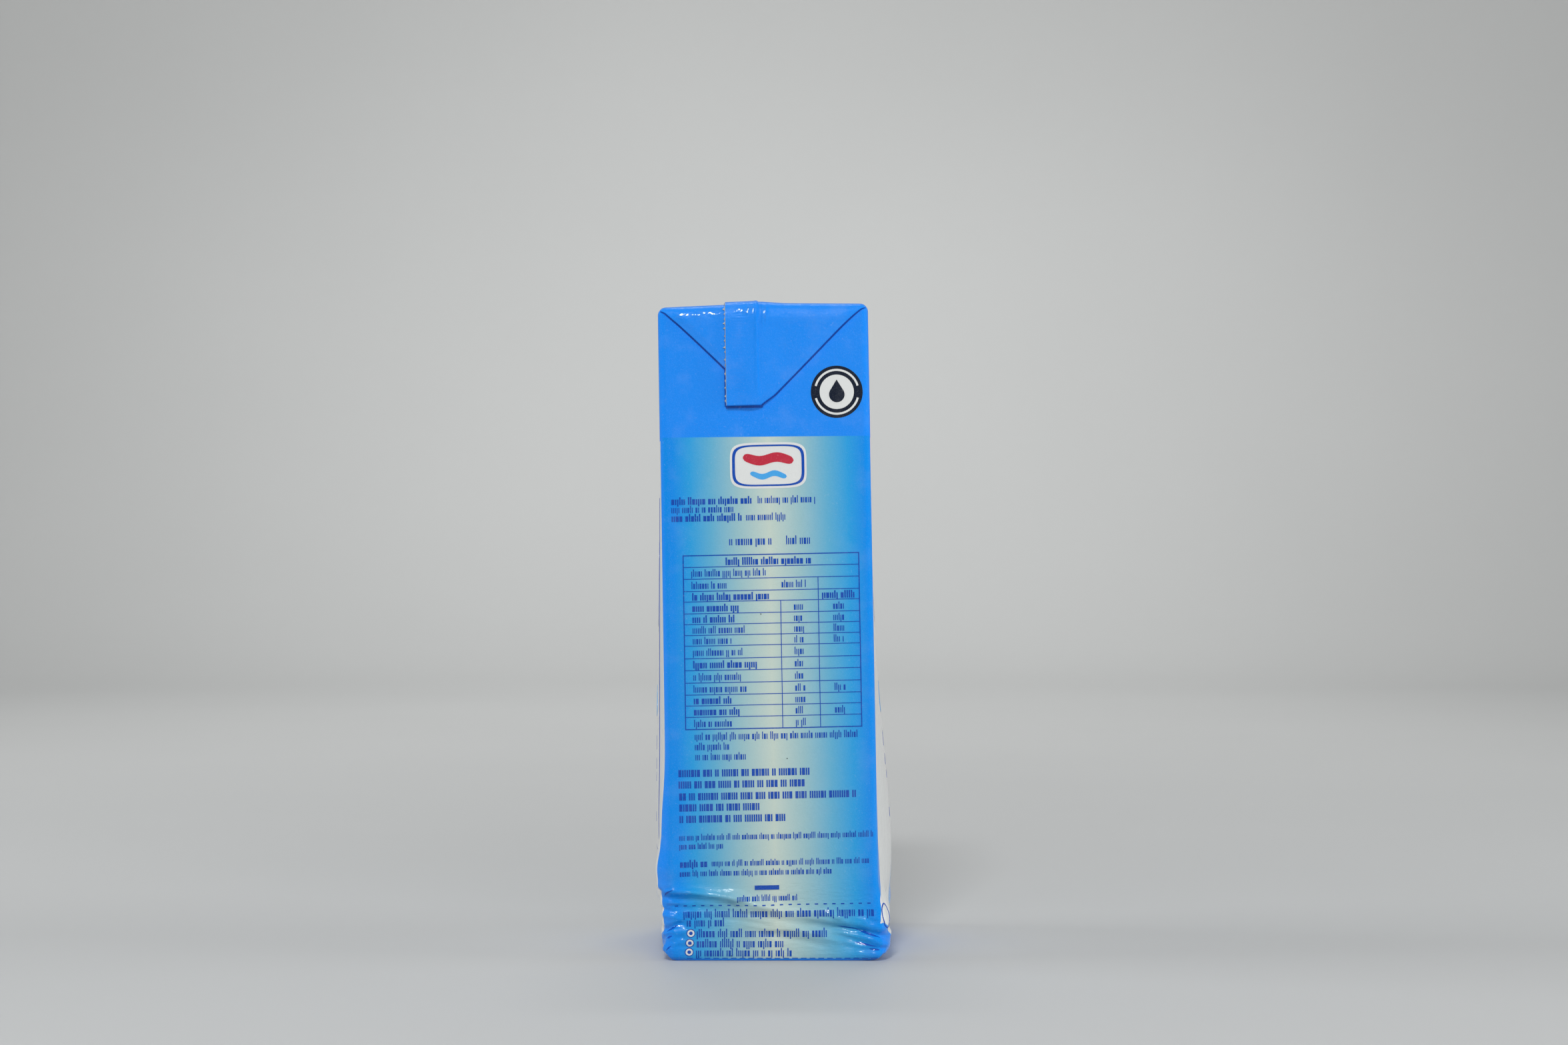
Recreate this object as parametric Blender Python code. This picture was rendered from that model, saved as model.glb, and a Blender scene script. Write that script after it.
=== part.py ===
"""Half-litre brick carton of milk, folded from one sheet of laminated board and filled.

The pack stands on its base, which is crumpled along its lower 20 mm, so that the body
leans a little to the left. The narrow sides face -Y and +Y, and the wide faces -X and +X.
Both ends of the flattened top are ears, folded down and glued to the narrow sides. The
top seal is a fin that lies folded to the left over the top and down both ears. The ears
of the base are folded under it, so the pack rests on them.

Metres, +Z up. The origin is the middle of the base.
"""

import math
from collections import namedtuple

import bmesh
import bpy
from mathutils import Vector

# The box before it settles
SIDE = 0.048
BREADTH = 0.072
HEIGHT = 0.1494
EDGE_RADIUS = 0.0018

# Cells of the body's skin
CELLS_ACROSS_SIDE = 12
CELLS_ACROSS_BREADTH = 12
CELLS_UP_BASE = 17
CELLS_UP_WALL = 13
BASE_ZONE = 0.026

# How the filled pack settles: it leans, and its level lines slope a little more than that
LEAN = math.radians(0.96)
SLOPE = math.radians(1.15)
LEAN_STARTS_OVER = 0.018
SPREAD = 0.0003
CROWN = 0.0006
MIDDLE_SHIFT = 0.000035

# Ears: right-angled flaps, as deep as half their width
EAR_REACH = 0.02255
EAR_MIDDLE = -0.00035
EAR_LIFT = 0.00125
EAR_RISES_OVER = 0.0054

# Seal fin, folded to the left of the middle. On its right it runs out into the panels
FIN_LEFT = -0.0086
FIN_RIGHT = 0.0060
FIN_FOLD = 0.0090
FIN_REACH = EAR_REACH + 0.0002
FIN_THICKNESS = 0.00068
FIN_SINKS = 0.00008
FIN_INNER = -0.0005
FIN_INSET = 0.0004

# Underside: the bare panels between the folded ears lie a little above the floor
UNDER_RECESS = 0.0008
UNDER_EAR_REACH = 0.0235

# Colours, as linear red, green and blue
BLUE = (0.021, 0.239, 0.835)
PALE_PRINT = (0.235, 0.475, 0.600)
WHITE = (0.730, 0.735, 0.720)
BARE_BOARD = (0.500, 0.430, 0.340)
PRINTED_ROUGHNESS = 0.28
BOARD_ROUGHNESS = 0.85
BAND_BOTTOM = 0.1195

# How far the middle of each wall bulges, and the shape of the bulge up the wall
Belly = namedtuple("Belly", "depth rise fall")
BELLIES = {
    "right": Belly(0.0040, 0.86, 5.0),
    "left": Belly(0.0032, 0.275, 1.5),
    "front": Belly(0.0008, 0.80, 1.6),
    "back": Belly(0.0010, 0.80, 1.6),
}
BELLY_TUCKS_IN = 0.005
STIFF_EDGE = 0.0018

# Creases of the crumpled base. start and end are (way round the pack, height), where the
# way round is 0 in the middle of the front, grows to the right and is SIDE / 2 at the
# right-hand edge. A positive lift is a ridge and a negative one a valley.
Crease = namedtuple("Crease", "start end lift width")
FRONT_CREASES = (
    # The long ridge from the dented left edge, and the valley under it
    Crease((-0.0260, 0.0170), (-0.0090, 0.0146), 0.0009, 0.0014),
    Crease((-0.0090, 0.0146), (0.0010, 0.0118), 0.0006, 0.0014),
    Crease((-0.0250, 0.0136), (-0.0080, 0.0120), -0.0009, 0.0013),
    # The broad ridges that run down to the right
    Crease((-0.0060, 0.0122), (0.0120, 0.0096), 0.0006, 0.0015),
    Crease((0.0120, 0.0096), (0.0210, 0.0082), 0.0004, 0.0015),
    Crease((-0.0060, 0.0088), (0.0110, 0.0058), 0.0004, 0.0013),
    # Valleys that run into the lower right edge
    Crease((0.0080, 0.0084), (0.0260, 0.0050), -0.0008, 0.0013),
    Crease((0.0160, 0.0038), (0.0260, 0.0022), -0.0006, 0.0011),
    # Pleats of the lower left edge
    Crease((-0.0270, 0.0070), (-0.0200, 0.0086), -0.0007, 0.0011),
    Crease((-0.0270, 0.0040), (-0.0205, 0.0054), -0.0006, 0.0010),
)
HIDDEN_CREASES = (
    # Left face
    Crease((-0.0420, 0.0215), (-0.0245, 0.0155), -0.0008, 0.0016),
    Crease((-0.0620, 0.0110), (-0.0330, 0.0150), 0.0006, 0.0018),
    Crease((-0.0800, 0.0070), (-0.0450, 0.0105), -0.0006, 0.0018),
    # Right face
    Crease((0.0240, 0.0055), (0.0400, 0.0125), -0.0008, 0.0016),
    Crease((0.0380, 0.0090), (0.0720, 0.0120), 0.0006, 0.0020),
    Crease((0.0560, 0.0065), (0.0950, 0.0145), -0.0006, 0.0018),
    # Back
    Crease((0.0940, 0.0150), (0.1160, 0.0125), 0.0008, 0.0015),
    Crease((0.0950, 0.0120), (0.1240, 0.0085), -0.0008, 0.0014),
    Crease((0.1160, 0.0135), (0.1460, 0.0095), 0.0007, 0.0015),
    Crease((0.1240, 0.0060), (0.1460, 0.0045), -0.0006, 0.0013),
)
# Swellings of the lower edges between the creases
Swelling = namedtuple("Swelling", "middle lift reach")
SWELLINGS = (
    Swelling((-0.0255, 0.0205), 0.0021, 0.0055),
    Swelling((-0.0255, 0.0060), 0.0014, 0.0060),
    Swelling((0.0265, 0.0048), 0.0031, 0.0062),
    Swelling((0.0940, 0.0090), 0.0012, 0.0060),
    Swelling((0.1450, 0.0100), 0.0010, 0.0060),
)
CREASES_START_OVER = 0.0008


def smooth(share):
    """0 below 0, 1 above 1, and an S-shaped rise between them."""
    share = min(max(share, 0.0), 1.0)
    return share * share * (3.0 - 2.0 * share)


def clear_scene():
    """Leaves nothing in the scene but this object."""
    for obj in list(bpy.data.objects):
        bpy.data.objects.remove(obj, do_unlink=True)


def collection_named(name):
    """A new collection in the scene."""
    made = bpy.data.collections.new(name)
    bpy.context.scene.collection.children.link(made)
    return made


def finish_of(name, colour, roughness):
    """A plain Principled finish."""
    material = bpy.data.materials.new(name)
    material.use_nodes = True
    material.diffuse_color = (*colour, 1.0)
    shader = material.node_tree.nodes["Principled BSDF"]
    shader.inputs["Base Color"].default_value = (*colour, 1.0)
    shader.inputs["Roughness"].default_value = roughness
    shader.inputs["Metallic"].default_value = 0.0
    return material


def lattice_block(cells, place):
    """A closed block of quads, cut into cells along X, Y and Z.

    place gets each corner's three counts of cells and returns its position.
    """
    block = bmesh.new()
    bmesh.ops.create_cube(block, size=1.0)
    for axis, count in enumerate(cells):
        along = [
            edge
            for edge in block.edges
            if abs(edge.verts[0].co[axis] - edge.verts[1].co[axis]) > 0.5
        ]
        if count > 1:
            bmesh.ops.subdivide_edges(block, edges=along, cuts=count - 1, use_grid_fill=True)
    for corner in block.verts:
        counts = [round((corner.co[axis] + 0.5) * cells[axis]) for axis in range(3)]
        corner.co = place(*counts)
    return block


def object_from(block, name, collection):
    """A mesh object made of a block, whose faces point out."""
    bmesh.ops.remove_doubles(block, verts=block.verts, dist=1e-6)
    bmesh.ops.recalc_face_normals(block, faces=block.faces)
    mesh = bpy.data.meshes.new(name)
    block.to_mesh(mesh)
    block.free()
    made = bpy.data.objects.new(name, mesh)
    collection.objects.link(made)
    return made


def belly_depth(name, height, aside, half):
    """How far a wall bulges at this height, aside metres from the middle of its half width."""
    belly = BELLIES[name]
    share = min(max(height / HEIGHT, 0.0), 1.0)
    peak = belly.rise / (belly.rise + belly.fall)
    highest = peak**belly.rise * (1.0 - peak) ** belly.fall
    tuck = 1.0 - math.exp(-max(height, 0.0) / BELLY_TUCKS_IN)
    across = max(0.0, 1.0 - (aside / (half - STIFF_EDGE)) ** 2)
    up = share**belly.rise * (1.0 - share) ** belly.fall / highest
    return belly.depth * tuck * up * across


def settle(point):
    """Where a point of the straight box comes to lie in the filled, leaning pack."""
    x, y, z = point
    across_side = x / (SIDE / 2)
    across_breadth = y / (BREADTH / 2)
    wide, narrow = "right" if x > 0 else "left", "back" if y > 0 else "front"
    spread = SPREAD * (1.0 - min(z / HEIGHT, 1.0))
    settled_x = x + across_side * (spread + belly_depth(wide, z, y, BREADTH / 2))
    settled_y = y + across_breadth * belly_depth(narrow, z, x, SIDE / 2)
    crown = CROWN * smooth(z / HEIGHT * 5.0 - 4.0) * max(0.0, 1.0 - abs(across_side))
    settling = smooth(z / LEAN_STARTS_OVER)
    return Vector((
        settled_x - z * math.sin(LEAN) * settling + MIDDLE_SHIFT,
        settled_y,
        z + crown + x * math.sin(SLOPE) * settling,
    ))


def nearest_in_core(point):
    """The point of the straight box's core that is nearest, with the core's round edges off."""
    middle = Vector((0.0, 0.0, HEIGHT / 2))
    core = Vector((SIDE, BREADTH, HEIGHT)) / 2 - Vector((EDGE_RADIUS,) * 3)
    off = point - middle
    return middle + Vector(min(max(off[axis], -core[axis]), core[axis]) for axis in range(3))


def outward(point):
    """The direction in which the straight box's skin faces at this point."""
    return (point - nearest_in_core(point)).normalized()


def way_round(point):
    """How far round the pack from the middle of the front a point of the box's skin lies."""
    half_way = SIDE / 2 + BREADTH / 2
    out = outward(point)
    turn = math.degrees(math.atan2(abs(out.x), -out.y))
    if turn < 0.01:
        way = abs(point.x)
    elif turn > 179.99:
        way = SIDE + BREADTH - abs(point.x)
    elif abs(turn - 90) < 0.01:
        way = half_way + point.y
    elif turn < 90:
        way = SIDE / 2 + EDGE_RADIUS * (turn - 45) / 45
    else:
        way = SIDE / 2 + BREADTH + EDGE_RADIUS * (turn - 135) / 45
    return way if point.x >= 0 else -way


def crumple(way, height):
    """How far the creases and swellings of the base lift the skin."""
    round_trip = 2 * (SIDE + BREADTH)
    lift = 0.0
    for crease in FRONT_CREASES + HIDDEN_CREASES:
        start, end = Vector(crease.start), Vector(crease.end)
        middle = (start.x + end.x) / 2
        near = way - round_trip * round((way - middle) / round_trip)
        line = end - start
        spot = Vector((near, height)) - start
        along = spot.dot(line) / line.length_squared
        aside = abs(spot.cross(line)) / line.length
        fade = smooth(along * 4.0 + 0.8) * smooth((1.0 - along) * 4.0 + 0.8)
        lift += crease.lift * fade * math.exp(-((aside / crease.width) ** 2))
    for swelling in SWELLINGS:
        near = way - round_trip * round((way - swelling.middle[0]) / round_trip)
        off = (Vector((near, height)) - Vector(swelling.middle)).length
        lift += swelling.lift * math.exp(-((off / swelling.reach) ** 2))
    return lift * smooth(height / CREASES_START_OVER)


def stations_between(half, cells):
    """Cell borders from -half to half, with each round edge cut in two."""
    flat = half - EDGE_RADIUS
    turn = EDGE_RADIUS * math.tan(math.radians(22.5))
    even = [flat * (2.0 * i / cells - 1.0) for i in range(cells + 1)]
    return [-half, -flat - turn, *even, flat + turn, half]


def stations_up():
    """Cell borders up the body, close together over the crumpled base."""
    turn = EDGE_RADIUS * (1.0 - math.tan(math.radians(22.5)))
    low = EDGE_RADIUS
    base = [low + (BASE_ZONE - low) * i / CELLS_UP_BASE for i in range(CELLS_UP_BASE)]
    wall_height = HEIGHT - EDGE_RADIUS - BASE_ZONE
    wall = [BASE_ZONE + wall_height * i / CELLS_UP_WALL for i in range(CELLS_UP_WALL + 1)]
    return [0.0, turn, *base, *wall, HEIGHT - turn, HEIGHT]


def straight_box():
    """The body before it settles: a box with round edges."""
    xs = stations_between(SIDE / 2, CELLS_ACROSS_SIDE)
    ys = stations_between(BREADTH / 2, CELLS_ACROSS_BREADTH)
    zs = stations_up()

    def place(i, j, k):
        on_box = Vector((xs[i], ys[j], zs[k]))
        return nearest_in_core(on_box) + outward(on_box) * EDGE_RADIUS

    return lattice_block((len(xs) - 1, len(ys) - 1, len(zs) - 1), place)


def run_down(point):
    """How far below the top edge of a narrow side a point of the box's skin lies."""
    rise = min(max(outward(point).z, 0.0), 1.0)
    if rise < 0.01:
        return HEIGHT - point.z
    return EDGE_RADIUS * (1.0 - 2.0 * math.asin(rise) / math.radians(90))


def ear_lift(run):
    """How far the ear's outer sheet stands off the narrow side."""
    return EAR_LIFT * smooth((run + EDGE_RADIUS) / EAR_RISES_OVER)


def fold_ears(block):
    """Cuts the outline of each ear into its narrow side, and raises the ear."""
    apex_height = HEIGHT - EAR_REACH
    for front in (-1, 1):
        for slope in (-1, 1):
            near = [
                face
                for face in block.faces
                if outward(face.calc_center_median()).y * front > 0.4
                and face.calc_center_median().z > apex_height - 0.01
            ]
            edges = {edge for face in near for edge in face.edges}
            corners = {corner for face in near for corner in face.verts}
            bmesh.ops.bisect_plane(
                block,
                geom=[*corners, *edges, *near],
                dist=1e-5,
                plane_co=(EAR_MIDDLE, 0.0, apex_height),
                plane_no=(slope, 0.0, -1.0),
            )
    flaps = []
    for face in block.faces:
        middle = face.calc_center_median()
        aside = abs(middle.x - EAR_MIDDLE)
        if abs(outward(middle).y) > 0.4 and middle.z - apex_height > aside:
            flaps.append(face)
    raised = bmesh.ops.extrude_face_region(block, geom=flaps)
    bmesh.ops.delete(block, geom=flaps, context="FACES")
    for item in raised["geom"]:
        if isinstance(item, bmesh.types.BMVert):
            item.co += outward(item.co) * ear_lift(run_down(item.co))
    bmesh.ops.remove_doubles(block, verts=block.verts, dist=2e-6)


def body(collection):
    """The filled body, with its ears, bulging walls and crumpled base."""
    block = straight_box()
    fold_ears(block)
    for corner in block.verts:
        out = outward(corner.co)
        level_out = Vector((out.x, out.y, 0.0))
        lift = crumple(way_round(corner.co), corner.co.z) if level_out.length > 0.3 else 0.0
        corner.co = settle(corner.co) + level_out * lift
    return object_from(block, "carton", collection)


def over_top_edge(x, run, lift, front):
    """A point above the skin, run metres down a narrow side from its top edge.

    A negative run is past the edge, on the top. lift is the height above the skin.
    """
    if run >= EDGE_RADIUS:
        y, z, out = -BREADTH / 2, HEIGHT - run, (0.0, -1.0, 0.0)
    elif run <= -EDGE_RADIUS:
        y, z, out = -BREADTH / 2 - run, HEIGHT, (0.0, 0.0, 1.0)
    else:
        turn = math.radians(90) * (EDGE_RADIUS - run) / (2 * EDGE_RADIUS)
        out = (0.0, -math.cos(turn), math.sin(turn))
        y = -BREADTH / 2 + EDGE_RADIUS * (1 + out[1])
        z = HEIGHT - EDGE_RADIUS * (1 - out[2])
    point = Vector((x, y, z)) + Vector(out) * lift
    if not front:
        point.y = -point.y
    return settle(point)


def fin(collection):
    """The top seal, folded flat: up the front ear, over the top and down the back one."""
    bend = [EDGE_RADIUS * (1.85 - 0.5 * i) for i in range(7)]
    bend_end = bend[0]
    down = [FIN_REACH + (bend_end - FIN_REACH) * i / 5 for i in range(5)]
    top = [bend[-1] - (BREADTH / 2 + bend[-1]) * i / 3 for i in range(1, 3)]
    half_way = down + bend + top
    stops = [(run, True) for run in half_way] + [(-BREADTH / 2, True)]
    stops += [(run, False) for run in reversed(half_way)]
    fold_start = FIN_RIGHT - FIN_FOLD
    across = [FIN_LEFT, (FIN_LEFT + fold_start) / 2, fold_start, EAR_MIDDLE]
    across += [EAR_MIDDLE + (FIN_RIGHT - EAR_MIDDLE) * i / 3 for i in range(1, 4)]

    def place(i, j, k):
        run, front = stops[j]
        x = across[i]
        if run > bend_end and x > EAR_MIDDLE:
            longest = FIN_REACH - FIN_INSET - (x - EAR_MIDDLE)
            run = bend_end + (run - bend_end) * (longest - bend_end) / (FIN_REACH - bend_end)
        ramp = FIN_THICKNESS * (1.0 - smooth((x - fold_start) / FIN_FOLD))
        lift = ear_lift(run) + ramp - FIN_SINKS if k else FIN_INNER
        return over_top_edge(x, run, lift, front)

    cells = (len(across) - 1, len(stops) - 1, 1)
    return object_from(lattice_block(cells, place), "fin", collection)


def under_cutter(side, collection):
    """The hollow of one bare panel of the base, between the two folded ears and the fin."""
    inner = FIN_LEFT if side < 0 else 0.0
    outer = side * SIDE
    gap = BREADTH / 2 - UNDER_EAR_REACH

    def place(i, j, k):
        x = outer if i else inner
        half = gap + abs(x)
        return Vector((x, half if j else -half, UNDER_RECESS if k else -0.01))

    return object_from(lattice_block((1, 1, 1), place), "under_panel", collection)


def apply_boolean(target, others, operation):
    """Joins a collection to the target, or cuts it from it, and removes the others."""
    modifier = target.modifiers.new(operation.title(), "BOOLEAN")
    modifier.operation = operation
    modifier.operand_type = "COLLECTION"
    modifier.collection = others
    modifier.solver = "EXACT"
    evaluated = target.evaluated_get(bpy.context.evaluated_depsgraph_get())
    target.data = bpy.data.meshes.new_from_object(evaluated)
    target.modifiers.clear()
    for other in list(others.objects):
        bpy.data.objects.remove(other, do_unlink=True)


def colour_faces(carton):
    """Gives the print's main fields their finishes: blue, pale print, white and bare board."""
    finishes = (
        finish_of("blue_print", BLUE, PRINTED_ROUGHNESS),
        finish_of("pale_print", PALE_PRINT, PRINTED_ROUGHNESS),
        finish_of("white_print", WHITE, PRINTED_ROUGHNESS),
        finish_of("bare_board", BARE_BOARD, BOARD_ROUGHNESS),
    )
    carton.data.materials.clear()
    for finish in finishes:
        carton.data.materials.append(finish)
    blue, pale, white, board = range(len(finishes))
    for face in carton.data.polygons:
        low = face.center.z < BAND_BOTTOM
        on_side = abs(face.center.y) > BREADTH / 2 - 0.0005
        cut = face.normal.x < -0.9 and abs(face.center.x) < SIDE / 4
        face.material_index = blue
        if low:
            face.material_index = pale if on_side else white
        elif cut:
            face.material_index = board


def main():
    """Builds the carton as one closed solid."""
    clear_scene()
    parts = collection_named("milk_carton")
    joined = collection_named("joined")
    cutters = collection_named("cutters")

    carton = body(parts)
    fin(joined)
    apply_boolean(carton, joined, "UNION")
    for side in (-1, 1):
        under_cutter(side, cutters)
    apply_boolean(carton, cutters, "DIFFERENCE")

    colour_faces(carton)
    carton.data.shade_smooth()
    carton.data.set_sharp_from_angle(angle=math.radians(40))


main()
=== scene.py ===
"""Looks of a shut, filled half-litre carton of milk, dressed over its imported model.

The carton is one folded sheet of laminated board. Its body, the flap of its folded ears and
seal, the raw cut edge of the seal and the ears under the base are each a class that builds
its own mesh. The print is thin ink on the sheet, so it follows every crease.

Shapes are in metres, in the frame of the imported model: +Z is up and -Y is the front. The
print is laid out on the flat sheet in millimetres, as a print drawing has it.
"""

import logging
import math
from collections.abc import Callable, Sequence
from dataclasses import dataclass, field
from enum import Enum

import bpy
import numpy as np
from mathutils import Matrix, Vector


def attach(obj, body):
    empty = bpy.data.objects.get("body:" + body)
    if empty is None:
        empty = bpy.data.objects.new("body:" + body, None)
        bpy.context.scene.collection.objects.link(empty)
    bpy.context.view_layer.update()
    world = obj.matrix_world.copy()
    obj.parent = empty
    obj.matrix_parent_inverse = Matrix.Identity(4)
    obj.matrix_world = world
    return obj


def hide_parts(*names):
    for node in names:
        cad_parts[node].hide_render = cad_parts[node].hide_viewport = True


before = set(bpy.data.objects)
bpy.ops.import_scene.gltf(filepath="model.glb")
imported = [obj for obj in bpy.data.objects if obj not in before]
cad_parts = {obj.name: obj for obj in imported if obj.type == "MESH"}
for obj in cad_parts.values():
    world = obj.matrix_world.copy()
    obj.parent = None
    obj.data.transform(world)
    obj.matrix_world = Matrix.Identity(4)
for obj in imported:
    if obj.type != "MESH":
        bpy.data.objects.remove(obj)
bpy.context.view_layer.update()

NODE = "carton"
BODY = "root"
MM = 0.001
LOG = logging.getLogger("carton")

Array = np.ndarray
Colour = tuple[float, float, float]
Socket = bpy.types.NodeSocket
Faces = list[tuple[int, ...]]


# Small helpers


def smooth(share: Array | float) -> Array:
    """0 below 0, 1 above 1, and an S-shaped rise between them."""
    share = np.clip(share, 0.0, 1.0)
    return share * share * (3.0 - 2.0 * share)


def bell(offset: Array | float, width: float) -> Array:
    """1 at no offset, falling off evenly to both sides over the width."""
    return np.exp(-((np.asarray(offset) / width) ** 2))


def display(red: int, green: int, blue: int) -> Colour:
    """A colour as a screen shows it.

    Args:
        red: Red, from 0 to 255.
        green: Green, from 0 to 255.
        blue: Blue, from 0 to 255.

    Returns:
        The same colour in linear light, from 0 to 1.
    """
    shares = (channel / 255 for channel in (red, green, blue))
    return tuple(
        share / 12.92 if share <= 0.04045 else ((share + 0.055) / 1.055) ** 2.4
        for share in shares
    )


def joined_stations(*stretches: Sequence[float]) -> Array:
    """Cell borders of several stretches, end to end, without the ones that they share."""
    return np.unique(np.round(np.concatenate(stretches), 8))


def mesh_piece(name: str, points: Array, faces: Faces | Array) -> bpy.types.Object:
    """Makes a smooth mesh and puts it in the scene.

    Args:
        name: The piece's name.
        points: Its corners, one row each.
        faces: The corners' numbers, face by face.

    Returns:
        The new object.
    """
    mesh = bpy.data.meshes.new(name)
    mesh.from_pydata(points.tolist(), [], [tuple(map(int, face)) for face in faces])
    mesh.shade_smooth()
    made = bpy.data.objects.new(name, mesh)
    bpy.context.scene.collection.objects.link(made)
    return made


def declare(piece: bpy.types.Object) -> bpy.types.Object:
    """Lets a piece ride on the carton's body and stand for its node, whose imported solid it hides.

    Args:
        piece: The finished piece.

    Returns:
        The same piece.
    """
    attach(piece, BODY)
    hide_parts(NODE)
    return piece


# The form that the filled pack takes


@dataclass(frozen=True)
class Belly:
    """How a wall bulges: its depth, and how its bulge rises and falls up the wall."""

    depth: float
    rise: float
    fall: float


@dataclass(frozen=True)
class Crease:
    """A straight ridge, or a valley if its lift is negative, between two (way, height)."""

    start: tuple[float, float]
    end: tuple[float, float]
    lift: float
    width: float


@dataclass(frozen=True)
class Swelling:
    """A round swelling of the skin about a (way, height)."""

    middle: tuple[float, float]
    lift: float
    reach: float


MAIN_CREASES = (
    # The long ridge from the dented left edge, and the valley under it
    Crease((-0.0260, 0.0170), (-0.0090, 0.0146), 0.0008, 0.0015),
    Crease((-0.0090, 0.0146), (0.0010, 0.0118), 0.0006, 0.0014),
    Crease((-0.0250, 0.0136), (-0.0080, 0.0120), -0.0006, 0.0014),
    # The broad ridges that run down to the right
    Crease((-0.0060, 0.0122), (0.0120, 0.0096), 0.0006, 0.0015),
    Crease((0.0120, 0.0096), (0.0210, 0.0082), 0.0004, 0.0015),
    Crease((-0.0060, 0.0088), (0.0110, 0.0058), 0.0004, 0.0013),
    # Valleys that run into the lower right edge
    Crease((0.0080, 0.0084), (0.0260, 0.0050), -0.0008, 0.0013),
    Crease((0.0160, 0.0038), (0.0260, 0.0022), -0.0006, 0.0011),
    # Pleats of the lower left edge
    Crease((-0.0270, 0.0070), (-0.0200, 0.0086), -0.0007, 0.0011),
    Crease((-0.0270, 0.0040), (-0.0205, 0.0054), -0.0006, 0.0010),
    # Left face
    Crease((-0.0420, 0.0215), (-0.0245, 0.0155), -0.0008, 0.0016),
    Crease((-0.0620, 0.0110), (-0.0330, 0.0150), 0.0006, 0.0018),
    Crease((-0.0800, 0.0070), (-0.0450, 0.0105), -0.0006, 0.0018),
    # Right face
    Crease((0.0240, 0.0055), (0.0400, 0.0125), -0.0008, 0.0016),
    Crease((0.0380, 0.0090), (0.0720, 0.0120), 0.0006, 0.0020),
    Crease((0.0560, 0.0065), (0.0950, 0.0145), -0.0006, 0.0018),
    # Back
    Crease((0.0940, 0.0150), (0.1160, 0.0125), 0.0008, 0.0015),
    Crease((0.0950, 0.0120), (0.1240, 0.0085), -0.0008, 0.0014),
    Crease((0.1160, 0.0135), (0.1460, 0.0095), 0.0007, 0.0015),
    Crease((0.1240, 0.0060), (0.1460, 0.0045), -0.0006, 0.0013),
)
FINE_CREASES = (
    # The sharp crest along the ridge and the small pleats at its left end
    Crease((-0.0238, 0.0166), (-0.0165, 0.0161), 0.00042, 0.00050),
    Crease((-0.0258, 0.0160), (-0.0228, 0.0171), -0.00045, 0.00045),
    Crease((-0.0180, 0.0159), (-0.0100, 0.0150), 0.00030, 0.00045),
    Crease((-0.0235, 0.0147), (-0.0130, 0.0142), -0.00028, 0.00060),
    Crease((-0.0236, 0.0140), (-0.0182, 0.0130), 0.00048, 0.00055),
    Crease((-0.0175, 0.0134), (-0.0070, 0.0118), 0.00030, 0.00055),
    Crease((-0.0110, 0.0148), (0.0000, 0.0124), 0.00030, 0.00050),
    Crease((-0.0256, 0.0124), (-0.0225, 0.0116), -0.00040, 0.00050),
    Crease((-0.0250, 0.0108), (-0.0215, 0.0102), 0.00030, 0.00060),
    # Pleats of the lower left corner
    Crease((-0.0246, 0.0072), (-0.0210, 0.0089), -0.00050, 0.00045),
    Crease((-0.0244, 0.0080), (-0.0205, 0.0096), 0.00025, 0.00050),
    Crease((-0.0256, 0.0052), (-0.0228, 0.0062), -0.00060, 0.00055),
    Crease((-0.0236, 0.0052), (-0.0200, 0.0046), 0.00025, 0.00045),
    Crease((-0.0230, 0.0033), (-0.0180, 0.0034), -0.00025, 0.00040),
    Crease((-0.0252, 0.0018), (-0.0236, 0.0048), 0.00028, 0.00040),
    Crease((-0.0244, 0.0012), (-0.0222, 0.0040), 0.00024, 0.00040),
    # Between the broad ridges
    Crease((-0.0130, 0.0102), (0.0010, 0.0080), -0.00022, 0.00070),
    Crease((-0.0040, 0.0126), (0.0070, 0.0107), 0.00028, 0.00050),
    Crease((0.0050, 0.0108), (0.0135, 0.0097), -0.00026, 0.00050),
    Crease((-0.0060, 0.0100), (0.0060, 0.0076), 0.00022, 0.00055),
    Crease((0.0000, 0.0080), (0.0105, 0.0062), 0.00026, 0.00050),
    Crease((-0.0020, 0.0062), (0.0110, 0.0036), -0.00024, 0.00070),
    Crease((0.0125, 0.0108), (0.0165, 0.0086), 0.00024, 0.00055),
    # The two sharp valleys of the lower right, each under a crest, and the fold below them
    Crease((0.0135, 0.0076), (0.0205, 0.0069), -0.00040, 0.00050),
    Crease((0.0195, 0.0070), (0.0248, 0.0056), -0.00050, 0.00045),
    Crease((0.0135, 0.0066), (0.0235, 0.0049), 0.00034, 0.00050),
    Crease((0.0150, 0.0056), (0.0240, 0.0031), -0.00052, 0.00055),
    Crease((0.0120, 0.0050), (0.0200, 0.0032), 0.00028, 0.00050),
    Crease((0.0200, 0.0026), (0.0245, 0.0026), -0.00040, 0.00035),
    Crease((0.0215, 0.0092), (0.0250, 0.0078), -0.00030, 0.00050),
    # The hidden sides have like ones
    Crease((-0.0380, 0.0180), (-0.0270, 0.0150), 0.00030, 0.0006),
    Crease((-0.0560, 0.0090), (-0.0350, 0.0120), -0.00028, 0.0007),
    Crease((0.0290, 0.0060), (0.0420, 0.0100), 0.00032, 0.0006),
    Crease((0.0450, 0.0080), (0.0640, 0.0095), -0.00028, 0.0007),
    Crease((0.0960, 0.0165), (0.1120, 0.0142), 0.00030, 0.0006),
    Crease((0.0965, 0.0105), (0.1180, 0.0070), -0.00032, 0.0006),
    Crease((0.1200, 0.0110), (0.1400, 0.0078), 0.00030, 0.0006),
)
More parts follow.
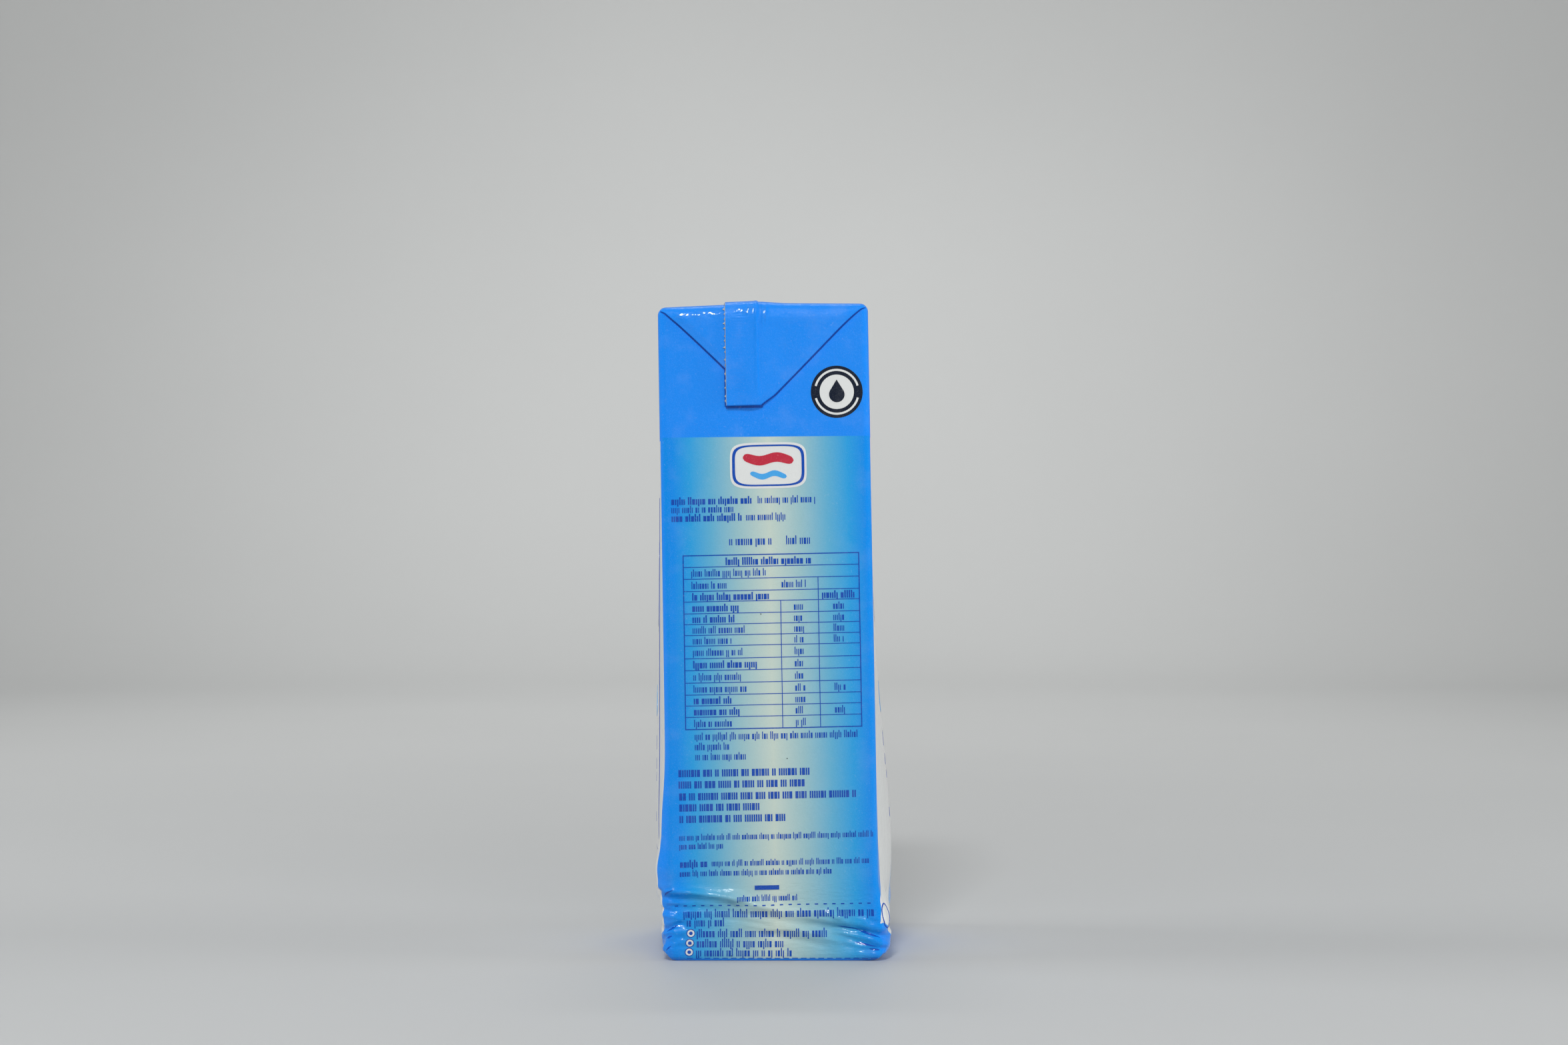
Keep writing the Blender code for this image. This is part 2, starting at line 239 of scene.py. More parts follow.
SWELLINGS = (
    Swelling((-0.0255, 0.0205), 0.0021, 0.0055),
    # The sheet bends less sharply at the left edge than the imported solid
    Swelling((-0.0250, 0.0139), 0.0013, 0.0023),
    Swelling((-0.0245, 0.0310), 0.0011, 0.0095),
    # Under the ring at the right edge
    Swelling((0.0295, 0.0108), 0.0011, 0.0045),
    Swelling((-0.0255, 0.0060), 0.0014, 0.0060),
    Swelling((0.0265, 0.0048), 0.0026, 0.0060),
    Swelling((0.0940, 0.0090), 0.0012, 0.0060),
    Swelling((0.1450, 0.0100), 0.0010, 0.0060),
)


@dataclass(frozen=True)
class PackForm:
    """Where each point of the straight carton lies once the pack is filled and has settled.

    The straight carton is a box with sharp edges. Its edges are rounded first, then its base
    is crumpled, and then the pack bulges and leans.
    """

    side: float = 0.048
    breadth: float = 0.072
    height: float = 0.1494
    edge_radius: float = 0.0018
    lean: float = math.radians(0.96)
    slope: float = math.radians(1.15)
    lean_starts_over: float = 0.018
    spread: float = 0.0003
    crown: float = 0.0006
    middle_shift: float = 0.000035
    right: Belly = Belly(0.0040, 0.86, 5.0)
    left: Belly = Belly(0.0032, 0.275, 1.5)
    front: Belly = Belly(0.0008, 0.80, 1.6)
    back: Belly = Belly(0.0010, 0.80, 1.6)
    belly_tucks_in: float = 0.005
    stiff_edge: float = 0.0018
    creases_start_over: float = 0.0008
    foot: float = 0.0011

    def rounded(self, points: Array) -> tuple[Array, Array]:
        """Rounds the box's edges.

        Args:
            points: Points on the sharp box, one row each.

        Returns:
            The points on the rounded box, and the direction in which its skin faces there.
        """
        middle = np.array((0.0, 0.0, self.height / 2))
        core = np.array((self.side, self.breadth, self.height)) / 2 - self.edge_radius
        off = points - middle
        inner = np.clip(off, -core, core)
        out = off - inner
        out /= np.linalg.norm(out, axis=1, keepdims=True)
        return middle + inner + out * self.edge_radius, out

    def way_round(self, points: Array, out: Array) -> Array:
        """How far round the pack from the middle of the front the rounded points lie."""
        turn = np.degrees(np.arctan2(np.abs(out[:, 0]), -out[:, 1]))
        arc = self.edge_radius / 45
        way = np.select(
            (turn < 0.01, turn > 179.99, np.abs(turn - 90) < 0.01, turn < 90),
            (
                np.abs(points[:, 0]),
                self.side + self.breadth - np.abs(points[:, 0]),
                self.side / 2 + self.breadth / 2 + points[:, 1],
                self.side / 2 + arc * (turn - 45),
            ),
            self.side / 2 + self.breadth + arc * (turn - 135),
        )
        return np.where(points[:, 0] >= 0, way, -way)

    def crumple(self, way: Array, height: Array) -> Array:
        """How far the creases and swellings of the base lift the skin."""
        trip = 2 * (self.side + self.breadth)
        lift = np.zeros_like(way)
        for crease in MAIN_CREASES + FINE_CREASES:
            (way_0, height_0), (way_1, height_1) = crease.start, crease.end
            near = way - trip * np.round((way - (way_0 + way_1) / 2) / trip) - way_0
            up = height - height_0
            line = np.array((way_1 - way_0, height_1 - height_0))
            length = np.linalg.norm(line)
            along = (near * line[0] + up * line[1]) / length**2
            aside = (near * line[1] - up * line[0]) / length
            fade = smooth(along * 4.0 + 0.8) * smooth((1.0 - along) * 4.0 + 0.8)
            lift += crease.lift * fade * bell(aside, crease.width)
        for swelling in SWELLINGS:
            near = way - trip * np.round((way - swelling.middle[0]) / trip)
            off = np.hypot(near - swelling.middle[0], height - swelling.middle[1])
            lift += swelling.lift * bell(off, swelling.reach)
        return lift * smooth(height / self.creases_start_over)

    def bulge(self, belly: Belly, height: Array, aside: Array, half: float) -> Array:
        """How far a wall bulges, aside metres from the middle of its half width."""
        share = np.clip(height / self.height, 0.0, 1.0)
        peak = belly.rise / (belly.rise + belly.fall)
        highest = peak**belly.rise * (1.0 - peak) ** belly.fall
        tuck = 1.0 - np.exp(-np.maximum(height, 0.0) / self.belly_tucks_in)
        across = np.maximum(0.0, 1.0 - (aside / (half - self.stiff_edge)) ** 2)
        up = share**belly.rise * (1.0 - share) ** belly.fall / highest
        return belly.depth * tuck * up * across

    def settled(self, points: Array) -> Array:
        """Where points of the rounded box come to lie in the filled, leaning pack."""
        x, y, z = points.T
        half_side, half_breadth = self.side / 2, self.breadth / 2
        bulge_x = np.where(
            x > 0,
            self.bulge(self.right, z, y, half_breadth),
            self.bulge(self.left, z, y, half_breadth),
        )
        bulge_y = np.where(
            y > 0,
            self.bulge(self.back, z, x, half_side),
            self.bulge(self.front, z, x, half_side),
        )
        spread = self.spread * (1.0 - np.minimum(z / self.height, 1.0))
        crown = self.crown * smooth(z / self.height * 5.0 - 4.0)
        crown *= np.maximum(0.0, 1.0 - np.abs(x / half_side))
        settling = smooth(z / self.lean_starts_over)
        across = x + x / half_side * (spread + bulge_x)
        return np.column_stack((
            across - z * math.sin(self.lean) * settling + self.middle_shift,
            y + y / half_breadth * bulge_y,
            z + crown + x * math.sin(self.slope) * settling,
        ))

    def place(self, points: Array, lift: Array | float = 0.0) -> Array:
        """Brings points of the sharp box to their places on the pack.

        Args:
            points: Points on the sharp box, one row each.
            lift: How far above the skin each of them lies.

        Returns:
            Their places, one row each.
        """
        skin, out = self.rounded(points)
        level = out * (1.0, 1.0, 0.0)
        reach = np.linalg.norm(level, axis=1)
        upright = reach > 0.3
        foot = self.foot * (1.0 - reach) * (reach > 0.02) * (skin[:, 2] < self.edge_radius)
        skin = skin + level / np.maximum(reach, 0.02)[:, None] * foot[:, None]
        crumple = np.where(upright, self.crumple(self.way_round(skin, out), skin[:, 2]), 0.0)
        lifts = np.broadcast_to(lift, (len(points),))[:, None]
        return self.settled(skin + out * lifts) + level * crumple[:, None]

    def edge_stations(self, cells: int) -> Array:
        """Cell borders over half a rounded edge, inward from its middle, evenly turned."""
        turns = np.radians(np.linspace(45.0, 0.0, cells + 1))
        return self.edge_radius * (1.0 - np.tan(turns))


# Finishes


class Graph:
    """A finish's nodes, with short calls for the ones that it uses."""

    def __init__(self, start: str | bpy.types.Material) -> None:
        """Starts a material that holds one Principled shader, or goes on with a made one."""
        made = isinstance(start, bpy.types.Material)
        self.material = start if made else bpy.data.materials.new(start)
        self.material.use_nodes = True
        self.tree = self.material.node_tree
        self.shader = self.tree.nodes["Principled BSDF"]

    def feed(self, socket: Socket, value: "Socket | float | Colour") -> None:
        """Links a socket, or sets its value. A colour gets a full alpha."""
        if isinstance(value, bpy.types.NodeSocket):
            self.tree.links.new(value, socket)
        elif isinstance(value, tuple) and socket.type == "RGBA":
            socket.default_value = (*value, 1.0)
        else:
            socket.default_value = value

    def math(self, operation: str, *values: "Socket | float") -> Socket:
        """The result of a Math node."""
        node = self.tree.nodes.new("ShaderNodeMath")
        node.operation = operation
        for socket, value in zip(node.inputs, values):
            self.feed(socket, value)
        return node.outputs[0]

    def mix(self, share: "Socket | float", first: "Socket | Colour",
            second: "Socket | Colour") -> Socket:
        """The first colour at share 0 and the second at share 1."""
        node = self.tree.nodes.new("ShaderNodeMix")
        node.data_type = "RGBA"
        self.feed(node.inputs["Factor"], share)
        self.feed(node.inputs[6], first)
        self.feed(node.inputs[7], second)
        return node.outputs[2]

    def edge(self, value: Socket, at: float, soft: float) -> Socket:
        """0 well below a limit and 1 well above it, with a soft step at it."""
        node = self.tree.nodes.new("ShaderNodeMapRange")
        node.interpolation_type = "SMOOTHSTEP"
        self.feed(node.inputs["Value"], value)
        self.feed(node.inputs["From Min"], at - soft)
        self.feed(node.inputs["From Max"], at + soft)
        return node.outputs["Result"]

    def bell(self, value: Socket, middle: float, width: float) -> Socket:
        """1 in the middle, falling off evenly to both sides over the width."""
        off = self.math("DIVIDE", self.math("SUBTRACT", value, middle), width)
        return self.math("EXPONENT", self.math("MULTIPLY", self.math("MULTIPLY", off, off), -1.0))

    def patches(self, spots: Sequence[tuple[float, float, float, float]]) -> Socket:
        """Soft patches of the flat sheet.

        Args:
            spots: Each patch's middle across and up, and its reach across and up.

        Returns:
            1 in the middles of the patches and 0 away from them.
        """
        across, up = self.sheet_place()
        total = None
        for spot_across, spot_up, wide, high in spots:
            spot = self.math("MULTIPLY", self.bell(across, spot_across, wide),
                             self.bell(up, spot_up, high))
            total = spot if total is None else self.math("ADD", total, spot)
        return self.math("MINIMUM", total, 1.0)

    def ramp(self, value: Socket, stops: Sequence[tuple[float, Colour]]) -> Socket:
        """A colour that runs through the stops as the value grows from 0 to 1."""
        node = self.tree.nodes.new("ShaderNodeValToRGB")
        self.feed(node.inputs["Fac"], value)
        elements = node.color_ramp.elements
        while len(elements) < len(stops):
            elements.new(0.5)
        for element, (place, colour) in zip(elements, stops):
            element.position = place
            element.color = (*colour, 1.0)
        return node.outputs["Color"]

    def noise(self, size: float, detail: float = 2.0, stretch: Colour = (1.0, 1.0, 1.0)) -> Socket:
        """Even noise from 0 to 1.

        Args:
            size: How large its spots are, in metres.
            detail: How many finer layers lie over them.
            stretch: How much denser it is along X, Y and Z.

        Returns:
            The noise's value.
        """
        place = self.tree.nodes.new("ShaderNodeTexCoord").outputs["Object"]
        mapping = self.tree.nodes.new("ShaderNodeMapping")
        mapping.inputs["Scale"].default_value = stretch
        self.feed(mapping.inputs["Vector"], place)
        node = self.tree.nodes.new("ShaderNodeTexNoise")
        self.feed(node.inputs["Vector"], mapping.outputs["Vector"])
        node.inputs["Scale"].default_value = 1.0 / size
        node.inputs["Detail"].default_value = detail
        return node.outputs["Fac"]

    def sheet_place(self) -> tuple[Socket, Socket]:
        """Millimetres to the right of a panel's middle, and above the base."""
        node = self.tree.nodes.new("ShaderNodeUVMap")
        node.uv_map = "sheet"
        split = self.tree.nodes.new("ShaderNodeSeparateXYZ")
        self.feed(split.inputs["Vector"], node.outputs["UV"])
        return split.outputs["X"], split.outputs["Y"]

    def bump(self, height: Socket, depth: float, below: Socket | None = None) -> Socket:
        """A surface direction with relief.

        Args:
            height: The relief, from 0 to 1.
            depth: How deep a height of 1 is, in metres.
            below: The direction that this relief lies on.

        Returns:
            The direction.
        """
        node = self.tree.nodes.new("ShaderNodeBump")
        node.inputs["Distance"].default_value = depth
        self.feed(node.inputs["Height"], height)
        if below is not None:
            self.feed(node.inputs["Normal"], below)
        return node.outputs["Normal"]


class Tint(Enum):
    """The print's colours, and the dark blue of the painted shade in folds and pleats."""

    BAND = display(20, 137, 244)
    STRIP = display(28, 137, 240)
    PANEL_EDGE = display(0, 138, 232)
    PANEL_BLUE = display(38, 157, 222)
    PANEL_SEA = display(94, 173, 209)
    PANEL_PALE = display(152, 192, 200)
    PANEL_CREAM = display(196, 211, 201)
    DARK_BLUE = display(6, 72, 172)
    LIGHT_BLUE = display(70, 165, 232)
    RED = display(190, 42, 64)
    BLACK = display(10, 22, 42)
    WHITE = display(222, 224, 223)
    FIELD_WHITE = display(219, 221, 220)
    BARE = display(190, 194, 188)
    BARE_DARK = display(134, 138, 132)
    # Painted shade, for the dark lines in folds and pleats
    PLEAT_SHADE = display(12, 84, 184)


@dataclass(frozen=True)
class Laminate:
    """Print under a thin glossy film, as all the printed finishes have it."""

    name: str
    tint: Tint = Tint.BAND
    roughness: float = 0.24
    uneven: float = 0.10
    peel_depth: float = 0.00005
    dots: float = 0.03
    dust_and_glints: float = 0.05
    shine: float = 0.35
    sparkle_depth: float = 0.00030
    facet: float = 0.0013
    sparkles: tuple[tuple[float, float, float, float], ...] = ()

    def print_colour(self, graph: Graph) -> "Socket | Colour":
        """The colour of the print: here one ink all over."""
        return self.tint.value

    def dulled(self, graph: Graph) -> "Socket | float":
        """How far the gloss is broken, from 0 to 1: here not at all."""
        return 0.0

    def relief(self, graph: Graph, below: Socket) -> Socket:
        """The direction of the surface over the film's own unevenness: here no more relief."""
        return below

    def make(self) -> bpy.types.Material:
        """Builds the finish.

        Returns:
            Its material: the print broken up by fine dots, faint scuffed patches and white specks
            that are partly a dusty film and partly painted glints, under a film whose gloss and
            surface are a little uneven.
        """
        graph = Graph(self.name)
        colour = self.print_colour(graph)
        grain = graph.noise(0.00022, 1.0)
        lighter = graph.mix(graph.edge(grain, 0.62, 0.14), colour, Tint.WHITE.value)
        darker = graph.mix(graph.edge(grain, 0.40, 0.14), (0.0, 0.0, 0.0), colour)
        dotted = graph.mix(self.dots, graph.mix(self.dots, colour, lighter), darker)
        scuffs_and_glints = graph.math("MULTIPLY", graph.edge(graph.noise(0.006, 4.0), 0.62, 0.12), 0.03)
        # White specks: partly a dusty film and partly painted glints of the film
        specks = graph.edge(graph.noise(0.0005, 0.0), 0.80, 0.03)
        scuffs_and_glints = graph.math("ADD", scuffs_and_glints, graph.math("MULTIPLY", specks, self.dust_and_glints))
        graph.feed(graph.shader.inputs["Base Color"], graph.mix(scuffs_and_glints, dotted, Tint.WHITE.value))
        gloss = graph.math("MULTIPLY", graph.noise(0.009, 3.0), self.uneven)
        dulled = self.dulled(graph)
        gloss = graph.math("ADD", gloss, graph.math("MULTIPLY", dulled, 0.24))
        graph.feed(
            graph.shader.inputs["Roughness"],
            graph.math("ADD", gloss, self.roughness - self.uneven / 2),
        )
        graph.shader.inputs["Specular IOR Level"].default_value = 0.20
        film = graph.math("MULTIPLY", graph.math("SUBTRACT", 1.0, dulled), self.shine)
        graph.shader.inputs["Coat Roughness"].default_value = 0.08
        waves = graph.bump(graph.noise(0.0045, 1.0), self.peel_depth * 1.5)
        peel = graph.bump(graph.noise(0.0009, 2.0), self.peel_depth, waves)
        surface = self.relief(graph, peel)
        if self.sparkles:
            worn = graph.patches(self.sparkles)
            facets = graph.noise(self.facet, 0.0)
            spots = graph.edge(graph.math("MULTIPLY", worn, graph.noise(0.0007, 1.0)), 0.24, 0.08)
            film = graph.math("MAXIMUM", film, spots)
            surface = graph.bump(graph.math("MULTIPLY", facets, worn), self.sparkle_depth, surface)
        graph.feed(graph.shader.inputs["Coat Weight"], film)
        graph.feed(graph.shader.inputs["Normal"], surface)
        graph.feed(graph.shader.inputs["Coat Normal"], surface)
        return graph.material


def right_border(graph: Graph, up: Socket) -> Socket:
    """How far the narrow sides' print reaches round their right edge, in millimetres."""
    broad = graph.math("MULTIPLY", graph.bell(up, 18.0, 9.0), 1.8)
    broad = graph.math("SUBTRACT", broad, graph.math("MULTIPLY", graph.bell(up, 13.8, 1.9), 1.5))
    low = graph.math("SUBTRACT", 1.0, graph.edge(up, 12.2, 2.8))
    return graph.math("SUBTRACT", graph.math("ADD", broad, 1.2), graph.math("MULTIPLY", low, 2.2))


@dataclass(frozen=True)
class NarrowPrint(Laminate):
    """The narrow sides: a blue band over a panel that is cream in its middle."""

    band_bottom: float = 119.45
    band_slope: float = 0.0104
    panel_middle: float = 0.7
    panel_half: float = 21.9
    strip_edge: float = -22.6
    strip_slope: float = 0.008
    half_side: float = 24.0
    field_bottom: float = 8.4
    crumple_top: float = 17.5
    wrinkle_depth: float = 0.00012
    sparkles: tuple[tuple[float, float, float, float], ...] = (
        (-20.3, 15.9, 2.4, 0.55), (-22.3, 13.4, 1.3, 0.45), (-12.9, 14.9, 1.2, 0.40),
        (14.9, 9.9, 1.5, 0.50), (1.5, 7.2, 1.8, 0.40), (-8.0, 12.9, 1.2, 0.40),
    )

    def print_colour(self, graph: Graph) -> Socket:
        """The panel's colours across, a strip at its left, and the band above."""
        across, up = graph.sheet_place()
        off = graph.math("ABSOLUTE", graph.math("SUBTRACT", across, self.panel_middle))
        panel = graph.ramp(
            graph.math("DIVIDE", off, self.panel_half),
            (
                (0.0, Tint.PANEL_CREAM.value),
                (0.32, Tint.PANEL_PALE.value),
                (0.6, Tint.PANEL_SEA.value),
                (0.82, Tint.PANEL_BLUE.value),
                (1.0, Tint.PANEL_EDGE.value),
            ),
        )
        turned = graph.math("ADD", across, graph.math("MULTIPLY", up, self.strip_slope))
        strip = graph.edge(turned, self.strip_edge, 0.7)
        panel = graph.mix(strip, Tint.STRIP.value, panel)
        beyond = graph.edge(graph.math("SUBTRACT", across, right_border(graph, up)),
                            self.half_side, 0.06)
        beyond = graph.math("MULTIPLY", beyond, graph.edge(up, self.field_bottom, 0.06))
        panel = graph.mix(beyond, panel, Tint.FIELD_WHITE.value)
        level = graph.math("ADD", up, graph.math("MULTIPLY", across, self.band_slope))
        return graph.mix(graph.edge(level, self.band_bottom, 0.06), panel, Tint.BAND.value)

    def crumpled(self, graph: Graph) -> Socket:
        """1 at the base and 0 above its creases."""
        up = graph.sheet_place()[1]
        return graph.math("SUBTRACT", 1.0, graph.edge(up, self.crumple_top, 2.0))

    def dulled(self, graph: Graph) -> Socket:
        """The crumpled film's gloss is broken."""
        return graph.math("MULTIPLY", self.crumpled(graph), 0.35)

    def relief(self, graph: Graph, below: Socket) -> Socket:
        """Fine wrinkles along the creases of the base."""
        wrinkles = graph.noise(0.0011, 2.0, (0.45, 1.0, 1.7))
        height = graph.math("MULTIPLY", wrinkles, self.crumpled(graph))
        return graph.bump(height, self.wrinkle_depth, below)


@dataclass(frozen=True)
class WidePrint(Laminate):
    """The wide faces: a white field between a blue band above and blue waves below."""

    band_bottom: float = 119.45
    band_sag: float = 9.0
    half_breadth: float = 36.0
    wrap: float = 0.9

    def corner_wave(self, graph: Graph, across: Socket) -> Socket:
        """How high the blue wave is: high at the front and back corners and in the middle."""
        corner = graph.bell(graph.math("ABSOLUTE", across), self.half_breadth, 3.0)
        hill = graph.bell(across, 3.0, 15.0)
        return graph.math("ADD", graph.math("MULTIPLY", corner, 3.6),
                          graph.math("MULTIPLY", hill, 15.0))

    def print_colour(self, graph: Graph) -> Socket:
        """The field, the band's curve, the two waves and the narrow sides' blue borders."""
        across, up = graph.sheet_place()
        aside = graph.math("DIVIDE", across, self.half_breadth)
        sag = graph.math("MULTIPLY", graph.math("MULTIPLY", aside, aside), self.band_sag)
        level = graph.math("SUBTRACT", graph.math("ADD", up, self.band_sag), sag)
        wave = graph.math("SUBTRACT", up, self.corner_wave(graph, across))
        swell = graph.math("MULTIPLY", graph.bell(across, -9.0, 11.0), 5.0)
        pale_wave = graph.math("SUBTRACT", wave, swell)
        field = graph.mix(graph.edge(pale_wave, 4.9, 0.06), Tint.LIGHT_BLUE.value,
                          Tint.FIELD_WHITE.value)
        field = graph.mix(graph.edge(wave, 4.8, 0.06), Tint.STRIP.value, field)
        left_edge = graph.edge(across, self.half_breadth - self.wrap, 0.06)
        field = graph.mix(left_edge, field, Tint.STRIP.value)
        off = graph.math("SUBTRACT", right_border(graph, up), across)
        field = graph.mix(graph.edge(off, self.half_breadth, 0.06), field, Tint.PANEL_EDGE.value)
        return graph.mix(graph.edge(level, self.band_bottom, 0.06), field, Tint.BAND.value)


@dataclass(frozen=True)
class SealPrint(Laminate):
    """The flap's blue print: crazed where it bends, ribbed where jaws closed the seal."""

    imprint_middle: float = -5.4
    imprint_width: float = 1.3
    rib_pitch: float = 0.62
    bend_middle: float = 1.9
    bend_width: float = 1.9
    craze_depth: float = 0.00010
    sparkles: tuple[tuple[float, float, float, float], ...] = (
        (-18.6, 2.20, 1.2, 0.60), (-14.6, 2.10, 2.2, 0.85), (-10.3, 2.00, 1.8, 0.75),
        (-4.4, 1.85, 2.2, 0.60), (-2.3, 1.90, 1.2, 0.90), (0.5, 2.4, 0.6, 1.4),
    )

    def bent(self, graph: Graph) -> Socket:
        """1 in the middle of the bend and 0 away from it."""
        return graph.bell(graph.sheet_place()[1], self.bend_middle, self.bend_width)

    def dulled(self, graph: Graph) -> Socket:
        """The bent film's gloss is broken."""
        return self.bent(graph)

    def relief(self, graph: Graph, below: Socket) -> Socket:
        """Fine ribs along the seal, and a crazed film at the bend."""
        across, run = graph.sheet_place()
        ribs = graph.math("SINE", graph.math("MULTIPLY", run, math.tau / self.rib_pitch))
        shown = graph.bell(across, self.imprint_middle, self.imprint_width)
        pressed = graph.bump(graph.math("MULTIPLY", ribs, shown), 0.000012, below)
        craze = graph.noise(0.0010, 2.0, (1.0, 1.3, 1.3))
        height = graph.math("MULTIPLY", craze, self.bent(graph))
        return graph.bump(height, self.craze_depth, pressed)


@dataclass(frozen=True)
class RawBoard:
    """Bare board: fluffy grey-brown fibres where it is cut, smoother where it is a face."""

    name: str
    light: Tint = Tint.BARE
    dark: Tint = Tint.BARE_DARK
    fibre: float = 0.00025
    fluff: float = 0.00012

    def make(self) -> bpy.types.Material:
        """Builds the finish.

        Returns:
            Its material, with long fibres in its colour and its relief.
        """
        graph = Graph(self.name)
        fibres = graph.noise(self.fibre, 4.0, (1.0, 1.0, 0.45))
        patches = graph.noise(0.0016, 2.0)
        shade = graph.math("ADD", graph.math("MULTIPLY", fibres, 0.6),
                           graph.math("MULTIPLY", patches, 0.4))
        colour = graph.mix(graph.edge(shade, 0.5, 0.18), self.dark.value, self.light.value)
        graph.feed(graph.shader.inputs["Base Color"], colour)
        graph.feed(graph.shader.inputs["Roughness"],
                   graph.math("ADD", graph.math("MULTIPLY", fibres, 0.15), 0.78))
        graph.shader.inputs["Specular IOR Level"].default_value = 0.2
        graph.feed(graph.shader.inputs["Normal"], graph.bump(fibres, self.fluff))
        return graph.material


# The body


@dataclass(frozen=True)
class CartonBody:
    """The body's skin: six panels on one lattice, close-meshed where the base is crumpled."""

    form: PackForm
    edge_cells: int = 4
    side_cells: int = 112
    corner_zone: float = 0.0082
    corner_cells: int = 20
    middle_cells: int = 44
    base_zone: float = 0.026
    base_cells: int = 60
    wall_cells: int = 40
    shoulder: float = 0.006
    shoulder_cells: int = 8
    under_gap: float = 0.0125
    under_rise: float = 0.0008
    under_soft: float = 0.0012
    under_fades_over: float = 0.004

    def stations(self) -> tuple[Array, Array, Array]:
        """The lattice's cell borders on the sharp box.

        Returns:
            The borders along X, Y and Z.
        """
        form = self.form
        edge = form.edge_stations(self.edge_cells)
        half, deep = form.side / 2, form.breadth / 2
        flat, flat_deep = half - form.edge_radius, deep - form.edge_radius
        near = flat_deep - self.corner_zone
        side = joined_stations(edge - half, np.linspace(-flat, flat, self.side_cells + 1),
                               half - edge)
        breadth = joined_stations(
            edge - deep,
            np.linspace(-flat_deep, -near, self.corner_cells + 1),
            np.linspace(-near, near, self.middle_cells + 1),
            np.linspace(near, flat_deep, self.corner_cells + 1),
            deep - edge,
        )
        top = form.height - form.edge_radius
        up = joined_stations(
            edge,
            np.linspace(form.edge_radius, self.base_zone, self.base_cells + 1),
            np.linspace(self.base_zone, top - self.shoulder, self.wall_cells + 1),
            np.linspace(top - self.shoulder, top, self.shoulder_cells + 1),
            form.height - edge,
        )
        return side, breadth, up

    def raise_bare_panels(self, sharp: Array) -> Array:
        """How far the bare panels between the ears of the base lie above the floor."""
        x, y, z = sharp.T
        inside = smooth((self.under_gap + np.abs(x) - np.abs(y)) / self.under_soft)
        return self.under_rise * inside * (1.0 - smooth(z / self.under_fades_over))

    def build(self) -> bpy.types.Object:
        """Builds and dresses the body.

        Returns:
            The body, with one finish for each kind of panel.
        """
        borders = self.stations()
        counts = [len(border) - 1 for border in borders]
        quads, kinds = [], []
        for axis in range(3):
            second, third = (axis + 1) % 3, (axis + 2) % 3
            cells = np.meshgrid(np.arange(counts[second]), np.arange(counts[third]))
            for at_end in (False, True):
                turns = ((0, 0), (1, 0), (1, 1), (0, 1))
                panel = np.zeros((cells[0].size, 4, 3), int)
                for corner, (over, on) in enumerate(turns if at_end else turns[::-1]):
                    panel[:, corner, axis] = counts[axis] if at_end else 0
                    panel[:, corner, second] = cells[0].ravel() + over
                    panel[:, corner, third] = cells[1].ravel() + on
                quads.append(panel)
                kinds.append(np.full(len(panel), 2 * axis + at_end))
        corners, kinds = np.concatenate(quads), np.concatenate(kinds)
        base = max(counts) + 1
        keys = (corners * (1, base, base**2)).sum(axis=2)
        unique, faces = np.unique(keys, return_inverse=True)
        lattice = np.column_stack((unique % base, unique // base % base, unique // base**2))
        sharp = np.column_stack([borders[axis][lattice[:, axis]] for axis in range(3)])
        points = self.form.place(sharp)
        points[:, 2] += self.raise_bare_panels(sharp)
        body = mesh_piece("carton_body", points, faces.reshape(-1, 4))
        self.dress(body, sharp[faces.reshape(-1)].reshape(-1, 4, 3), kinds)
        return declare(body)

    def dress(self, body: bpy.types.Object, corners: Array, kinds: Array) -> None:
        """Lays the flat sheet's places on the body's faces and gives each panel its finish.

        Args:
            body: The body.
            corners: The sharp box's corners of each face.
            kinds: Which of the six panels each face is on: left, right, front, back, under, top.
        """
        x, y, z = np.moveaxis(corners, 2, 0) / MM
        across = np.select([kinds[:, None] == kind for kind in range(6)], (-y, y, x, -x, x, x))
        up = np.where(kinds[:, None] < 4, z, y)
        uv_map = body.data.uv_layers.new(name="sheet")
        uv_map.data.foreach_set("uv", np.stack((across, up), axis=2).ravel())
        for finish in (
            WidePrint("wide_print"),
            NarrowPrint("narrow_print"),
            Laminate("base_print"),
            Laminate("top_print"),
        ):
            body.data.materials.append(finish.make())
        slots = np.array((0, 0, 1, 1, 2, 3))[kinds]
        body.data.polygons.foreach_set("material_index", slots)


# The folded flap and its seal


def loft(rows: Array) -> tuple[Array, Faces]:
    """Joins closed sections into one closed skin.

    Args:
        rows: The sections' points, section by section, all with the same count.

    Returns:
        The points, and faces that point out of the skin.
    """
    count, around = rows.shape[:2]
    first = np.arange(count - 1)[:, None] * around
    here, beside = np.arange(around), (np.arange(around) + 1) % around
    quads = np.stack((first + here, first + beside, first + around + beside,
                      first + around + here), axis=2).reshape(-1, 4)
    faces = [tuple(quad) for quad in quads.tolist()]
    faces.append(tuple(reversed(range(around))))
    faces.append(tuple(range((count - 1) * around, count * around)))
    points = rows.reshape(-1, 3)
    a, b, c, d = (points[quads[:, corner]] for corner in range(4))
    volume = (a * np.cross(b, c)).sum() + (a * np.cross(c, d)).sum()
    return points, faces if volume > 0 else [face[::-1] for face in faces]


